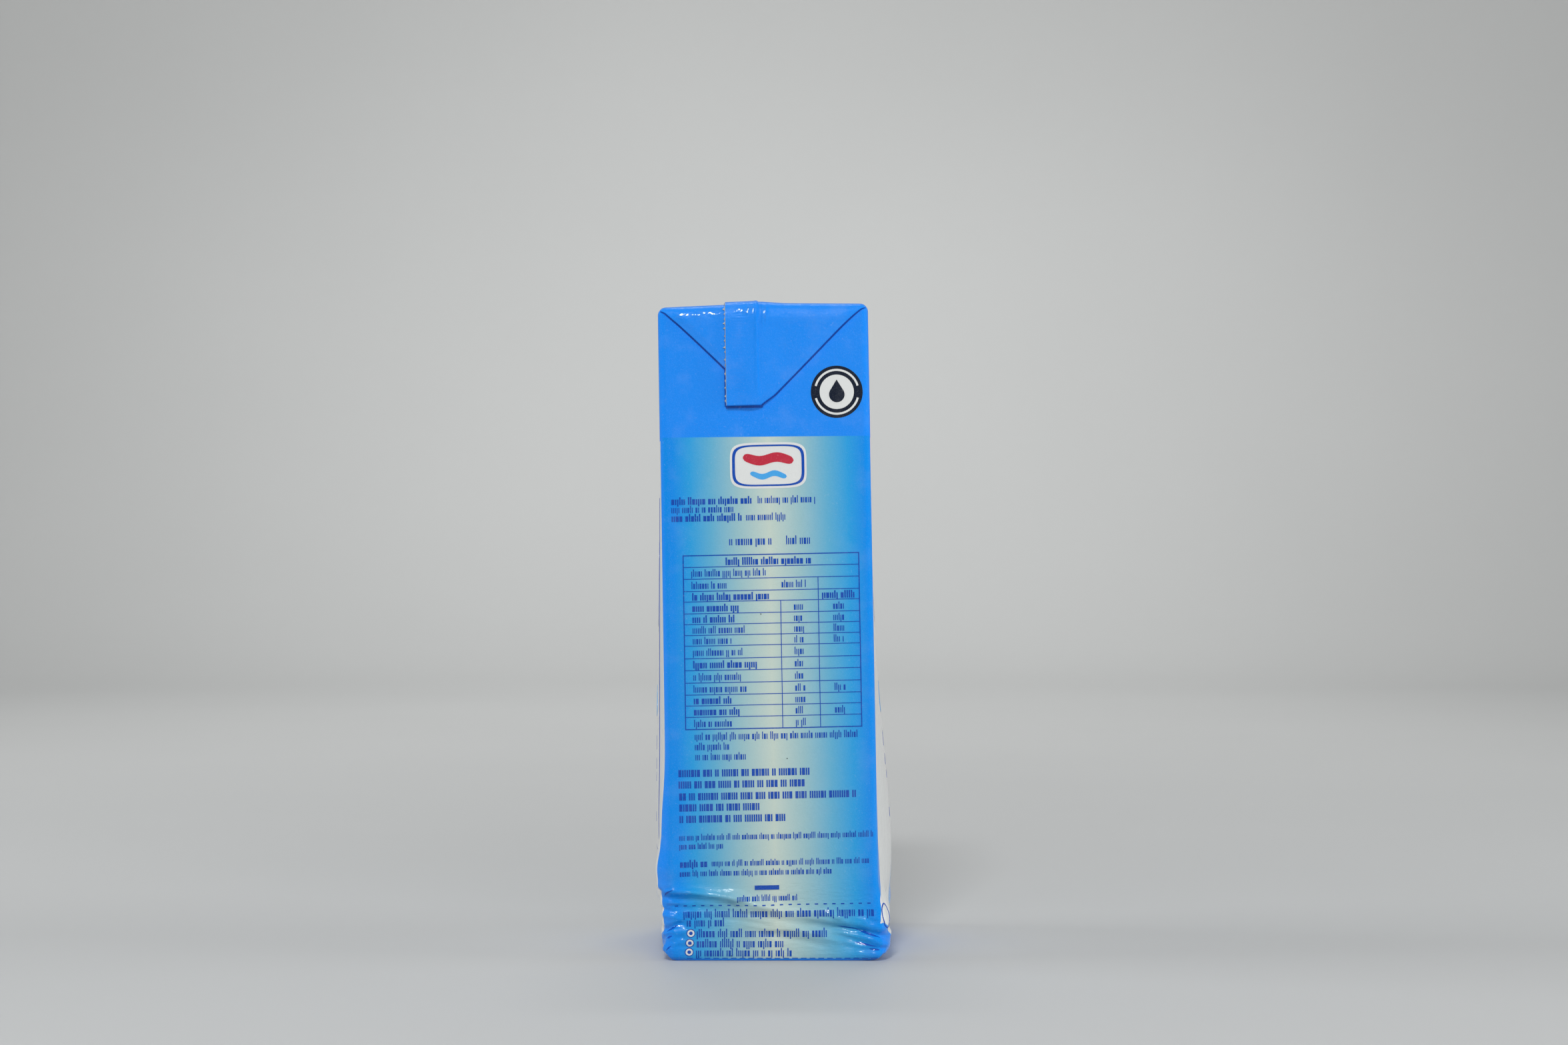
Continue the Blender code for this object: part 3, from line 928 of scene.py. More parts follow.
@dataclass(frozen=True)
class TopFlap:
    """The folded ears and the seal over them: one closed skin from the front to the back.

    A place on it is x and a run, which is how far below the top edge of a narrow side it
    lies. A negative run is past the edge, on the top.
    """

    form: PackForm
    reach: float = 0.02290
    ear_lift: float = 0.00125
    ear_rises_over: float = 0.0054
    clear: float = 0.00003
    sinks: float = 0.00018
    bow: float = 0.00015
    left_shift: float = 0.00035
    nose: float = 0.00042
    pillow: float = 0.00045
    pillow_width: float = 0.0017
    cut: float = -0.0086
    fin_right: float = 0.0060
    fin_fold: float = 0.0090
    fin_rise: float = 0.00060
    fin_step: float = 0.00016
    fin_sags: float = 0.00035
    seam: float = -0.0011
    end_cut: float = 0.0008
    end_nose: float = 0.00022
    top_columns: int = 60
    side_columns: int = 28
    nose_columns: int = 9

    def folds(self, run: float) -> tuple[float, float]:
        """Where the two diagonal folds lie at a run: left and right."""
        flare = 0.0010 * math.exp(-max(run, 0.0) / 0.0022)
        flare += 0.0016 * math.exp(-max(run - 0.0003, 0.0) / 0.0005)
        bow = self.bow * math.sin(math.pi * min(max((run - 0.005) / 0.016, 0.0), 1.0))
        reach = self.reach - max(run, 0.0003)
        widest = self.form.side / 2 - 0.0004
        bow -= self.end_cut * float(smooth((run - self.reach + 0.0026) / 0.0026))
        right = min(reach + bow + flare, widest)
        left = max(-reach - flare - self.left_shift * float(smooth(run / 0.003)), -widest)
        return min(left, right - 4 * self.nose), right

    def angled_run(self, run: float) -> float:
        """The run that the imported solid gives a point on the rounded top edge."""
        radius = self.form.edge_radius
        if abs(run) >= radius:
            return run
        turn = math.degrees(math.atan2(radius - abs(run), radius))
        return math.copysign(radius * (1.0 - turn / 45), run)

    def ear(self, run: float) -> float:
        """How far the ear's outer sheet stands off the wall. On the top it sinks in."""
        radius = self.form.edge_radius
        rise = smooth((self.angled_run(run) + radius) / self.ear_rises_over)
        return float(self.clear + self.ear_lift * rise - self.sinks * smooth((-run - radius) / 0.0015))

    def fin(self, x: Array | float) -> Array:
        """How far the seal lifts the sheet over the ear: it ends in a step and a long ramp."""
        ramp = 1.0 - smooth((x - self.fin_right + self.fin_fold) / self.fin_fold)
        step = 1.0 - smooth((x - self.seam) / 0.0006)
        return (self.fin_rise - self.fin_step) * ramp + self.fin_step * step

    def sag(self, x: Array | float, run: float) -> Array:
        """How far the seal's free left part sags to the wall below the left fold."""
        free = smooth((run - 0.0130) / 0.0060) * smooth((-0.0030 - np.asarray(x)) / 0.0040)
        return self.fin_sags * free

    def relief(self, x: Array, run: float) -> Array:
        """Small creases: the seam of the seal's inner layer and the wrinkles at its bend."""
        seam_shown = smooth((run + 0.004) / 0.003) * smooth((0.0215 - run) / 0.004)
        ridge = 0.00010 * bell(x - self.seam + 0.0005, 0.0004)
        groove = -0.00017 * bell(x - self.seam - 0.0001, 0.00028)
        wrinkles = np.zeros_like(x)
        for middle, high, low, lift, width in (
            (-0.0015, 0.0012, 0.0075, 0.00012, 0.00022),
            (-0.0001, 0.0010, 0.0045, 0.00010, 0.00020),
            (0.0007, 0.0016, 0.0040, 0.00008, 0.00020),
            (-0.0034, 0.0012, 0.0036, 0.00006, 0.00030),
            (-0.0142, 0.0010, 0.0040, 0.00005, 0.00040),
            (0.0120, 0.0012, 0.0046, 0.00005, 0.00050),
        ):
            shown = smooth((run - high + 0.0015) / 0.0015) * smooth((low + 0.0015 - run) / 0.0015)
            wrinkles = wrinkles + lift * shown * bell(x - middle, width)
        return (ridge + groove) * seam_shown + wrinkles

    def section(self, run: float, end_run: float) -> tuple[Array, Array]:
        """The closed outline of the flap across one row.

        Args:
            run: The row's run.
            end_run: The run of the flap's folded lower end.

        Returns:
            The outline's x, and its lifts above the wall.
        """
        left, right = self.folds(run)
        top, low = self.ear(run), -0.0001
        nose = self.nose * min(1.0, math.sqrt(max(top, 0.0) / self.ear_lift) + 0.15)
        inner_left, inner_right = left + nose, right - nose
        split = min(0.0010, self.cut + 0.8 * (inner_right - self.cut))
        over = np.concatenate((
            np.linspace(self.cut, split, self.top_columns),
            np.linspace(split, inner_right, self.top_columns)[1:],
        ))
        drop = self.pillow * top / self.ear_lift
        over_lift = top + self.fin(over) - self.sag(over, run) + self.relief(over, run)
        over_lift = over_lift - drop * bell(over - right, self.pillow_width)
        side = np.linspace(inner_left, self.cut, self.side_columns)
        side_lift = top - self.sag(side, run) * smooth((side - left) / 0.001)
        side_lift = side_lift - drop * bell(side - left, self.pillow_width)
        side_lift = side_lift + self.relief(side, run) * (left < self.cut)
        turns = np.radians(np.linspace(90, -90, self.nose_columns))[1:-1]
        middle = (top + low) / 2
        right_half = np.where(turns > 0, over_lift[-1] - middle, middle - low)
        left_half = np.where(turns[::-1] > 0, side_lift[0] - middle, middle - low)
        under = np.linspace(inner_right, inner_left, 6)
        x = np.concatenate((
            over, inner_right + nose * np.cos(turns), under,
            inner_left - nose * np.cos(turns[::-1]), side,
            [self.cut - 0.00002],
        ))
        lift = np.concatenate((
            over_lift, middle + right_half * np.sin(turns), np.full(len(under), low),
            middle + left_half * np.sin(turns[::-1]), side_lift,
            [(side_lift[-1] + over_lift[0]) / 2],
        ))
        rounding = min(max((run - end_run + self.end_nose) / self.end_nose, 0.0), 0.995)
        closing = math.sqrt(1.0 - rounding**2)
        return x, middle + (lift - middle) * closing

    def half_rows(self, fine: float, coarse: float) -> Array:
        """The runs of the rows, from the flap's lower end up to the middle of the top.

        Args:
            fine: The rows' spacing near the top edge.
            coarse: Their spacing on the top.

        Returns:
            The runs, falling.
        """
        form = self.form
        bend = form.edge_stations(7)
        near = 0.0062
        wall = np.arange(near, self.reach - self.end_nose, 1.6 * fine)
        end = self.reach - self.end_nose * (1.0 - np.sin(np.radians(np.linspace(0, 86, 7))))
        top = np.arange(-form.edge_radius - 0.0021, -form.breadth / 2, -coarse)
        shoulder = -np.arange(form.edge_radius, form.edge_radius + 0.0020, fine)
        rows = joined_stations(np.arange(form.edge_radius, near, fine), bend, -bend, wall, end,
                               shoulder, top, [-form.breadth / 2])
        return rows[::-1]

    def on_pack(self, x: Array, lift: Array, run: float, front: bool) -> Array:
        """Brings one row of the flap to its place on the pack.

        Args:
            x: The points' x.
            lift: Their lifts above the skin.
            run: The row's run.
            front: Whether it is in the front half.

        Returns:
            The points' places.
        """
        form = self.form
        y = -form.breadth / 2 - min(run, 0.0)
        z = form.height - max(run, 0.0)
        sharp = np.column_stack((x, np.full(len(x), y if front else -y), np.full(len(x), z)))
        return form.place(sharp, lift)

    def build(self) -> bpy.types.Object:
        """Builds and dresses the flap.

        Returns:
            The flap, as one closed skin.
        """
        rows = self.half_rows(0.00030, 0.0022)
        stops = [(run, True) for run in rows] + [(run, False) for run in rows[-2::-1]]
        sections, places = [], []
        for run, front in stops:
            x, lift = self.section(run, self.reach)
            sections.append(self.on_pack(x, lift, run, front))
            places.append(np.column_stack((x, np.full(len(x), run))) / MM)
        points, faces = loft(np.array(sections))
        flap = mesh_piece("top_flap", points, faces)
        corners = np.zeros(len(flap.data.loops), int)
        flap.data.loops.foreach_get("vertex_index", corners)
        uv_map = flap.data.uv_layers.new(name="sheet")
        uv_map.data.foreach_set("uv", np.concatenate(places)[corners].ravel())
        flap.data.materials.append(SealPrint("seal_print").make())
        flap.data.set_sharp_from_angle(angle=math.radians(50))
        return declare(flap)


@dataclass(frozen=True)
class SealEdge:
    """The seal's cut edge: two layers of raw board, the lower one torn into small teeth."""

    flap: TopFlap
    lip: float = 0.00005
    bevel: float = 0.00008
    lower_layer: float = 0.00010
    tooth: float = 0.00062
    pitch: tuple[float, float] = (0.0009, 0.0019)
    row: float = 0.00012
    top_row: float = 0.00020
    seed: int = 11

    def teeth(self, length: float) -> Callable[[float], float]:
        """How far the teeth stick out along the edge.

        Args:
            length: The edge's whole length.

        Returns:
            A function from the distance along the edge to the teeth's reach there.
        """
        draw = np.random.default_rng(self.seed)
        places, reaches, at = [0.0], [0.0], 0.0
        while at < length:
            at += draw.uniform(*self.pitch)
            reach = self.tooth * draw.uniform(0.35, 0.9)
            width = draw.uniform(0.00018, 0.00034)
            places += [at - width, at + draw.uniform(-0.4, 0.4) * width, at + width]
            reaches += [0.02 * reach, reach, 0.05 * reach]
        return lambda along: float(np.interp(along, places, reaches))

    def build(self) -> bpy.types.Object:
        """Builds and dresses the cut edge.

        Returns:
            The edge, as one closed strip.
        """
        flap = self.flap
        rows = flap.half_rows(self.row, self.top_row)
        rows = rows[rows < flap.reach - 0.00012]
        stops = [(run, True) for run in rows] + [(run, False) for run in rows[-2::-1]]
        teeth = self.teeth(2 * (flap.reach + flap.form.breadth / 2))
        draw = np.random.default_rng(self.seed + 1)
        fluff = draw.normal(0.0, 0.000018, (len(stops), 2))
        sections, along, last = [], 0.0, stops[0][0]
        for (run, front), (upper, lower) in zip(stops, fluff):
            along += abs(run - last)
            last = run
            low = flap.ear(run) - float(flap.sag(flap.cut, run))
            high = low + flap.fin_rise
            out = flap.cut - self.lower_layer - teeth(along) - lower
            x = np.array((flap.cut + 0.0002, flap.cut + self.lip, flap.cut - self.bevel + upper,
                          out, out + 0.00004, flap.cut + 0.0002))
            lift = np.array((high - 0.00012, high + 0.00001, high - 0.00018,
                             low + 0.00026, low + 0.00006, low + 0.00003))
            sections.append(flap.on_pack(x, np.maximum(lift, 0.00001), run, front))
        points, faces = loft(np.array(sections))
        edge = mesh_piece("seal_edge", points, faces)
        edge.data.materials.append(RawBoard("cut_board").make())
        edge.data.set_sharp_from_angle(angle=math.radians(35))
        return declare(edge)


@dataclass(frozen=True)
class UnderFlaps:
    """The two ears folded under the base and the lower seal that lies between them."""

    form: PackForm
    gap: float = 0.0125
    fin_left: float = -0.0086
    fin_right: float = 0.0
    thickness: float = 0.0010
    round_off: float = 0.0004
    rows: int = 26

    def plate(self, name: str, rows: Sequence[tuple[float, float, float]]) -> bpy.types.Object:
        """A flat sheet on the floor whose edges are folded round.

        Args:
            name: The piece's name.
            rows: The y, left end and right end of each row.

        Returns:
            The piece.
        """
        turns = np.radians(np.linspace(-90, 90, 7))
        half = self.thickness / 2
        sections = []
        for y, left, right in rows:
            left, right = min(left, -self.round_off), max(right, self.round_off)
            x = np.concatenate((right - self.round_off + self.round_off * np.cos(turns),
                                left + self.round_off - self.round_off * np.cos(turns[::-1])))
            z = np.concatenate((half + half * np.sin(turns), half + half * np.sin(turns[::-1])))
            sections.append(np.column_stack((x, np.full(len(x), y), z)))
        points, faces = loft(np.array(sections))
        plate = mesh_piece(name, points, faces)
        plate.data.materials.append(Laminate(name).make())
        plate.data.set_sharp_from_angle(angle=math.radians(50))
        return declare(plate)

    def build(self) -> list[bpy.types.Object]:
        """Builds and dresses the flaps.

        Returns:
            The front ear, the back ear and the seal.
        """
        outer = self.form.breadth / 2 - self.form.edge_radius
        steps = np.linspace(self.gap, outer, self.rows)
        limit = self.form.side / 2 - self.form.edge_radius
        made = []
        for name, turn in (("under_ear_front", -1), ("under_ear_back", 1)):
            rows = [(turn * y, -min(y - self.gap, limit), min(y - self.gap, limit)) for y in steps]
            made.append(self.plate(name, rows))
        along = np.linspace(-self.gap - 0.008, self.gap + 0.008, 12)
        made.append(self.plate("under_seal", [(y, self.fin_left, self.fin_right + 0.0004) for y in along]))
        return made


# The print


class Panel(Enum):
    """The wall that a mark is printed on."""

    FRONT = "front"
    BACK = "back"
    LEFT = "left"
    RIGHT = "right"

    def on_box(self, form: PackForm, places: Array) -> Array:
        """The sharp box's points at places on this wall.

        Args:
            form: The pack's form.
            places: Millimetres to the right of the wall's middle and above the base.

        Returns:
            The points, in metres.
        """
        across, up = places.T * MM
        side, deep = np.full(len(up), form.side / 2), np.full(len(up), form.breadth / 2)
        return np.column_stack({
            Panel.FRONT: (across, -deep, up),
            Panel.BACK: (-across, deep, up),
            Panel.RIGHT: (side, across, up),
            Panel.LEFT: (-side, -across, up),
        }[self])


@dataclass
class Ink:
    """One ink of the print: closed marks, a few hundredths of a millimetre thick."""

    form: PackForm
    name: str
    tint: Tint
    lift: float = 0.000045
    root: float = -0.00005
    crumpled_below: float = 24.0
    fine_cell: float = 0.4
    coarse_cell: float = 3.0
    marks: list[tuple[Panel, Array, Faces]] = field(default_factory=list)

    def cell(self, bottom: float) -> float:
        """The largest cell of a mark whose lower end is at this height."""
        return self.fine_cell if bottom < self.crumpled_below else self.coarse_cell

    def strip(self, panel: Panel, lower: Array, upper: Array) -> None:
        """Adds a mark between two lines with the same count of points.

        Args:
            panel: The wall.
            lower: The lower line's places, from left to right.
            upper: The upper line's places.
        """
        tallest = np.linalg.norm(upper - lower, axis=1).max()
        rows = max(1, math.ceil(tallest / self.cell(lower[:, 1].min())))
        shares = np.linspace(0.0, 1.0, rows + 1)[:, None, None]
        places = (lower * (1 - shares) + upper * shares).reshape(-1, 2)
        count = len(lower)
        faces = [
            (row * count + i, row * count + i + 1, (row + 1) * count + i + 1, (row + 1) * count + i)
            for row in range(rows)
            for i in range(count - 1)
        ]
        self.marks.append((panel, places, faces))

    def bar(self, panel: Panel, left: float, right: float, bottom: float, top: float) -> None:
        """Adds a straight bar between these places."""
        count = max(1, math.ceil((right - left) / self.cell(bottom))) + 1
        across = np.linspace(left, right, count)
        self.strip(panel, np.column_stack((across, np.full(count, bottom))),
                   np.column_stack((across, np.full(count, top))))

    def dashes(self, panel: Panel, left: float, right: float, middle: float,
               dash: float, pitch: float, thick: float) -> None:
        """Adds a dashed line along a height."""
        for start in np.arange(left, right - dash, pitch):
            self.bar(panel, start, start + dash, middle - thick / 2, middle + thick / 2)

    def disc(self, panel: Panel, middle: tuple[float, float], outline: Callable[[Array], Array],
             hole: float = 0.0, count: int = 48) -> None:
        """Adds a round mark.

        Args:
            panel: The wall.
            middle: The place of its middle.
            outline: Its radius at each angle, in radians from the right, turning up.
            hole: The share of it that is left open in the middle.
            count: How many corners its outline has.
        """
        angles = np.linspace(0.0, math.tau, count, endpoint=False)
        reach = outline(angles)
        rings = max(1, math.ceil(reach.max() * (1 - hole) / self.cell(middle[1] - reach.max())))
        shares = np.linspace(max(hole, 0.12), 1.0, rings + 1)
        ways = np.column_stack((np.cos(angles), np.sin(angles)))
        places = np.concatenate([np.array(middle) + ways * (reach * share)[:, None]
                                 for share in shares])
        faces = [
            (ring * count + i, (ring + 1) * count + i,
             (ring + 1) * count + (i + 1) % count, ring * count + (i + 1) % count)
            for ring in range(rings)
            for i in range(count)
        ]
        if not hole:
            faces.append(tuple(range(count)))
        self.marks.append((panel, places, faces))

    def build(self) -> bpy.types.Object:
        """Builds and dresses the ink.

        Returns:
            All its marks, as one piece of closed thin plates.
        """
        all_points, all_faces, start = [], [], 0
        for panel, places, faces in self.marks:
            sharp = panel.on_box(self.form, places)
            count = len(places)
            sides = {(a, b) for face in faces for a, b in zip(face, face[1:] + face[:1])}
            walls = [(b, a, a + count, b + count) for a, b in sorted(sides) if (b, a) not in sides]
            under = [tuple(corner + count for corner in reversed(face)) for face in faces]
            all_faces += [tuple(corner + start for corner in face) for face in faces + under + walls]
            all_points.append(np.concatenate((sharp, sharp)))
            start += 2 * count
        lifts = np.concatenate([
            np.repeat((self.lift, self.root), len(places)) for _, places, _ in self.marks
        ])
        points = self.form.place(np.concatenate(all_points), lifts)
        made = mesh_piece(self.name, points, all_faces)
        made.data.materials.append(Laminate(self.name, self.tint).make())
        made.data.set_sharp_from_angle(angle=math.radians(45))
        return declare(made)


@dataclass(frozen=True)
class Style:
    """How a row of plain bars stands in for a line of print, in millimetres."""

    height: float
    bar: float
    gap: float
    word_gap: float
    even: bool = False


class Weight(Enum):
    """The styles of the rows."""

    REGULAR = Style(1.70, 0.21, 0.19, 0.62)
    BOLD = Style(1.75, 0.33, 0.16, 0.66)
    CAPS = Style(1.62, 0.34, 0.16, 0.70, even=True)
    LARGE = Style(2.00, 0.25, 0.21, 0.75)
    FINE = Style(1.45, 0.19, 0.16, 0.52)
    HEADLINE = Style(3.20, 0.60, 0.34, 1.20, even=True)


@dataclass(frozen=True)
class Row:
    """One row of bars: the height of its middle, its two ends and its weight."""

    middle: float
    left: float
    right: float
    weight: Weight = Weight.REGULAR


HEADING_ROWS = (
    Row(105.15, -21.5, -2.6, Weight.BOLD),
    Row(105.15, -1.9, 11.7),
    Row(103.25, -21.5, -7.3),
    Row(101.30, -21.5, -5.3, Weight.BOLD),
    Row(101.30, -4.6, 4.6),
    Row(95.85, -8.5, 1.2, Weight.LARGE),
    Row(95.85, 4.4, 10.1, Weight.LARGE),
)
TABLE_ROWS = (
    Row(91.25, -9.4, 11.0, Weight.BOLD),
    Row(88.70, -17.2, 0.2),
    Row(85.90, -17.2, -8.6),
    Row(85.90, 3.2, 8.7),
    Row(83.30, -17.1, 0.6, Weight.BOLD),
    Row(83.30, 12.3, 19.7, Weight.BOLD),
)
# The rows under the table's heading: middle, end of the name, bold or not, has a third value
TABLE_LINES = (
    (80.75, -6.3, True, True),
    (78.20, -7.2, True, True),
    (75.75, -5.3, False, True),
    (73.30, -8.1, False, True),
    (70.65, -5.5, False, False),
    (67.85, -2.6, True, False),
    (65.05, -5.8, False, False),
    (62.30, -4.8, False, True),
    (59.70, -8.1, True, False),
    (57.15, -6.1, True, True),
    (54.45, -7.6, False, False),
)
TABLE_RULES = (90.01, 87.31, 84.52, 82.14, 79.43, 76.98, 74.50, 72.08, 69.20, 66.49, 63.66,
               60.94, 58.45, 55.87)
NOTE_ROWS = (
    Row(51.50, -17.0, 20.1),
    Row(49.20, -17.0, -9.1),
    Row(46.90, -16.9, -5.3),
    Row(43.10, -20.8, 9.2, Weight.CAPS),
    Row(40.50, -20.8, 8.0, Weight.CAPS),
    Row(37.80, -20.7, 19.3, Weight.CAPS),
    Row(35.30, -20.7, -2.5, Weight.CAPS),
    Row(32.70, -20.7, 3.8, Weight.CAPS),
    Row(28.60, -20.8, 23.2, Weight.FINE),
    Row(26.60, -20.8, -10.5, Weight.FINE),
    Row(22.60, -20.7, -14.2, Weight.BOLD),
    Row(22.60, -13.6, 22.5, Weight.FINE),
    Row(20.40, -20.8, 13.6, Weight.FINE),
    Row(14.50, -8.0, 5.7, Weight.FINE),
    Row(11.05, -20.2, 22.7, Weight.LARGE),
    Row(9.00, -19.5, -10.7, Weight.LARGE),
    Row(6.45, -17.3, 12.0, Weight.LARGE),
    Row(4.10, -17.3, 2.2, Weight.LARGE),
    Row(1.95, -17.5, 4.7, Weight.LARGE),
)


BACK_ROWS = (
    Row(104.0, -11.0, 11.0, Weight.BOLD),
    Row(101.5, -8.0, 8.0),
    Row(84.0, -18.0, 18.0, Weight.CAPS),
    Row(81.2, -18.0, 9.0),
    Row(78.6, -18.0, 14.0),
    Row(76.0, -18.0, 4.0),
    Row(70.8, -18.0, 16.0, Weight.CAPS),
    Row(68.0, -18.0, 12.0),
    Row(65.4, -18.0, 17.0),
    Row(62.8, -18.0, -2.0),
    Row(52.8, -15.0, 3.0, Weight.BOLD),
    Row(49.0, -15.0, 14.0),
    Row(45.6, -15.0, 11.0),
    Row(42.2, -15.0, 13.0),
    Row(38.8, -15.0, 2.0),
    Row(29.2, -18.0, 17.0, Weight.FINE),
    Row(26.8, -18.0, 10.0, Weight.FINE),
    Row(9.4, -14.0, 14.0, Weight.LARGE),
)
WIDE_ROWS = (
    Row(48.4, -9.0, 9.0, Weight.HEADLINE),
    Row(43.6, -9.0, 9.0, Weight.LARGE),
    Row(40.2, -7.0, 7.0, Weight.LARGE),
    Row(31.0, -8.0, 8.0),
)


# Painted shade lines in sharp pleats of the photographed base: start, end and thickness in millimetres
PLEAT_SHADES = (
    ((-23.95, 6.9), (-21.4, 8.5), 0.42),
    ((-23.95, 5.3), (-22.7, 5.9), 0.50),
    ((-23.95, 2.4), (-22.8, 3.6), 0.32),
    ((-23.9, 15.3), (-22.2, 16.9), 0.26),
    ((14.2, 7.85), (19.2, 7.1), 0.30),
    ((17.6, 7.5), (23.9, 5.25), 0.50),
    ((18.2, 4.3), (23.0, 3.3), 0.42),
    ((21.4, 2.8), (23.95, 2.5), 0.42),
)


@dataclass
class Print:
    """All the marks of the print, ink by ink, and a thin layer of painted shade in folds and pleats."""

    form: PackForm
    flap: TopFlap
    seed: int = 5
    table_left: float = -19.0
    table_right: float = 20.8
    table_top: float = 92.66
    table_bottom: float = 53.09
    value_column: float = 2.95
    share_column: float = 11.48
    rule: float = 0.17
    frame_line: float = 0.24
    plate_middle: tuple[float, float] = (0.65, 112.9)
    badge_middle: tuple[float, float] = (16.5, 129.3)
    badge_radius: float = 5.9
    icons: tuple[tuple[float, float], ...] = ((-18.6, 6.45), (-18.85, 4.15), (-19.0, 2.05))
    ring_middle: tuple[float, float] = (-34.3, 9.9)
    # Reach of the painted shade outside the folds and below the flap's end, in millimetres
    fold_line: float = 0.52
    end_line: float = 0.50
    wide_frame: float = 24.5
    specks: tuple[tuple[float, float], ...] = ((-1.6, 79.1), (3.8, 46.1), (-9.5, 1.1))

    def __post_init__(self) -> None:
        """Opens one layer for each ink, the upper ones a little higher."""
        self.draw = np.random.default_rng(self.seed)
        self.dark = Ink(self.form, "dark_blue_ink", Tint.DARK_BLUE)
        self.white = Ink(self.form, "white_ink", Tint.WHITE)
        self.over = Ink(self.form, "upper_blue_ink", Tint.DARK_BLUE, 0.00009)
        self.light = Ink(self.form, "light_blue_ink", Tint.LIGHT_BLUE, 0.00009)
        self.red = Ink(self.form, "red_ink", Tint.RED, 0.00009)
        self.black = Ink(self.form, "black_ink", Tint.BLACK)
        # Painted shade in the ear's folds and the base's pleats, laid as a thin dark layer like an ink
        self.crease = Ink(self.form, "painted_shade_ink", Tint.PLEAT_SHADE, 0.00006)
        self.top_white = Ink(self.form, "upper_white_ink", Tint.WHITE, 0.00009)
        self.top_black = Ink(self.form, "upper_black_ink", Tint.BLACK, 0.00013)

    def row(self, panel: Panel, row: Row, ink: Ink) -> None:
        """Fills a row with short words of plain upright bars.

        Args:
            panel: The wall.
            row: The row.
            ink: The ink that it is printed with.
        """
        style = row.weight.value
        foot = row.middle - style.height / 2
        low = 1.0 if style.even else 0.72
        at = row.left
        while at < row.right - style.bar:
            letters = int(self.draw.integers(2, 9))
            for _ in range(letters):
                kind = self.draw.random()
                wide = style.bar * (2.0 if kind > 0.72 else 1.0)
                if at + wide > row.right:
                    break
                tall = 1.0 if kind < 0.2 else low
                drop = 0.22 if 0.2 <= kind < 0.3 and not style.even else 0.0
                ink.bar(panel, at, at + wide, foot - drop * style.height, foot + tall * style.height)
                at += wide + style.gap
            at += style.word_gap - style.gap

    def rows(self, panel: Panel, rows: Sequence[Row], ink: Ink) -> None:
        """Fills several rows."""
        for row in rows:
            self.row(panel, row, ink)

    def table(self, panel: Panel) -> None:
        """The table: its frame, its rules and columns, and the bars in its cells."""
        half = self.rule / 2
        for rule in TABLE_RULES:
            self.dark.bar(panel, self.table_left, self.table_right, rule - half, rule + half)
        thick = self.frame_line
        for edge in (self.table_top, self.table_bottom):
            self.dark.bar(panel, self.table_left - thick / 2, self.table_right + thick / 2,
                          edge - thick / 2, edge + thick / 2)
        columns = (
            (self.table_left, self.table_top, thick),
            (self.table_right, self.table_top, thick),
            (self.share_column, TABLE_RULES[1], self.rule),
            (self.value_column, TABLE_RULES[3], self.rule),
        )
        for across, top, wide in columns:
            self.over.bar(panel, across - wide / 2, across + wide / 2, self.table_bottom, top)
        self.rows(panel, TABLE_ROWS, self.dark)
        for middle, end, bold, shared in TABLE_LINES:
            weight = Weight.BOLD if bold else Weight.REGULAR
            self.row(panel, Row(middle, -17.1, end, weight), self.dark)
            self.row(panel, Row(middle, 5.9, 8.2), self.dark)
            if shared:
                self.row(panel, Row(middle, 14.8, 17.3), self.dark)

    def plate(self, panel: Panel, middle: tuple[float, float], size: float) -> None:
        """The name's place: a white plate with a blue line, a red and a pale ribbon.

        Args:
            panel: The wall.
            middle: The plate's middle.
            size: Its width in millimetres.
        """
        wide, high = size / 2, size * 0.30

        def outline(inset: float) -> Callable[[Array], Array]:
            """The plate's rounded outline, this far in."""
            a, b, power = wide - inset, high - inset, 5.0
            return lambda angle: (
                (np.abs(np.cos(angle)) / a) ** power + (np.abs(np.sin(angle)) / b) ** power
            ) ** (-1 / power)

        line = size * 0.022
        self.white.disc(panel, middle, outline(0.0), count=96)
        ring = outline(line * 1.3)
        thickness = line / (high - line)
        self.over.disc(panel, middle, ring, hole=1 - thickness, count=96)
        across = np.linspace(-0.33, 0.33, 41)
        for ink, up, tall, length in (
            (self.red, 0.085, 0.125, 1.0),
            (self.light, -0.125, 0.075, 0.72),
        ):
            wave = 0.022 * np.sin(across / 0.33 * math.pi * 1.5)
            taper = np.sqrt(np.clip(1 - (across / 0.33) ** 8, 0.02, 1))
            middle_line = np.column_stack((middle[0] + across * length * size,
                                           middle[1] + (up + wave) * size))
            half = np.column_stack((np.zeros_like(across), taper * tall * size / 2))
            ink.strip(panel, middle_line - half, middle_line + half)

    def drop_outline(self, radius: float) -> Callable[[Array], Array]:
        """The outline of a drop: a circle and the two straight lines to a tip above it."""
        touch = math.acos(1 / 1.9)
        return lambda angle: radius / np.cos(np.maximum(touch - np.abs(angle - math.pi / 2), 0.0))

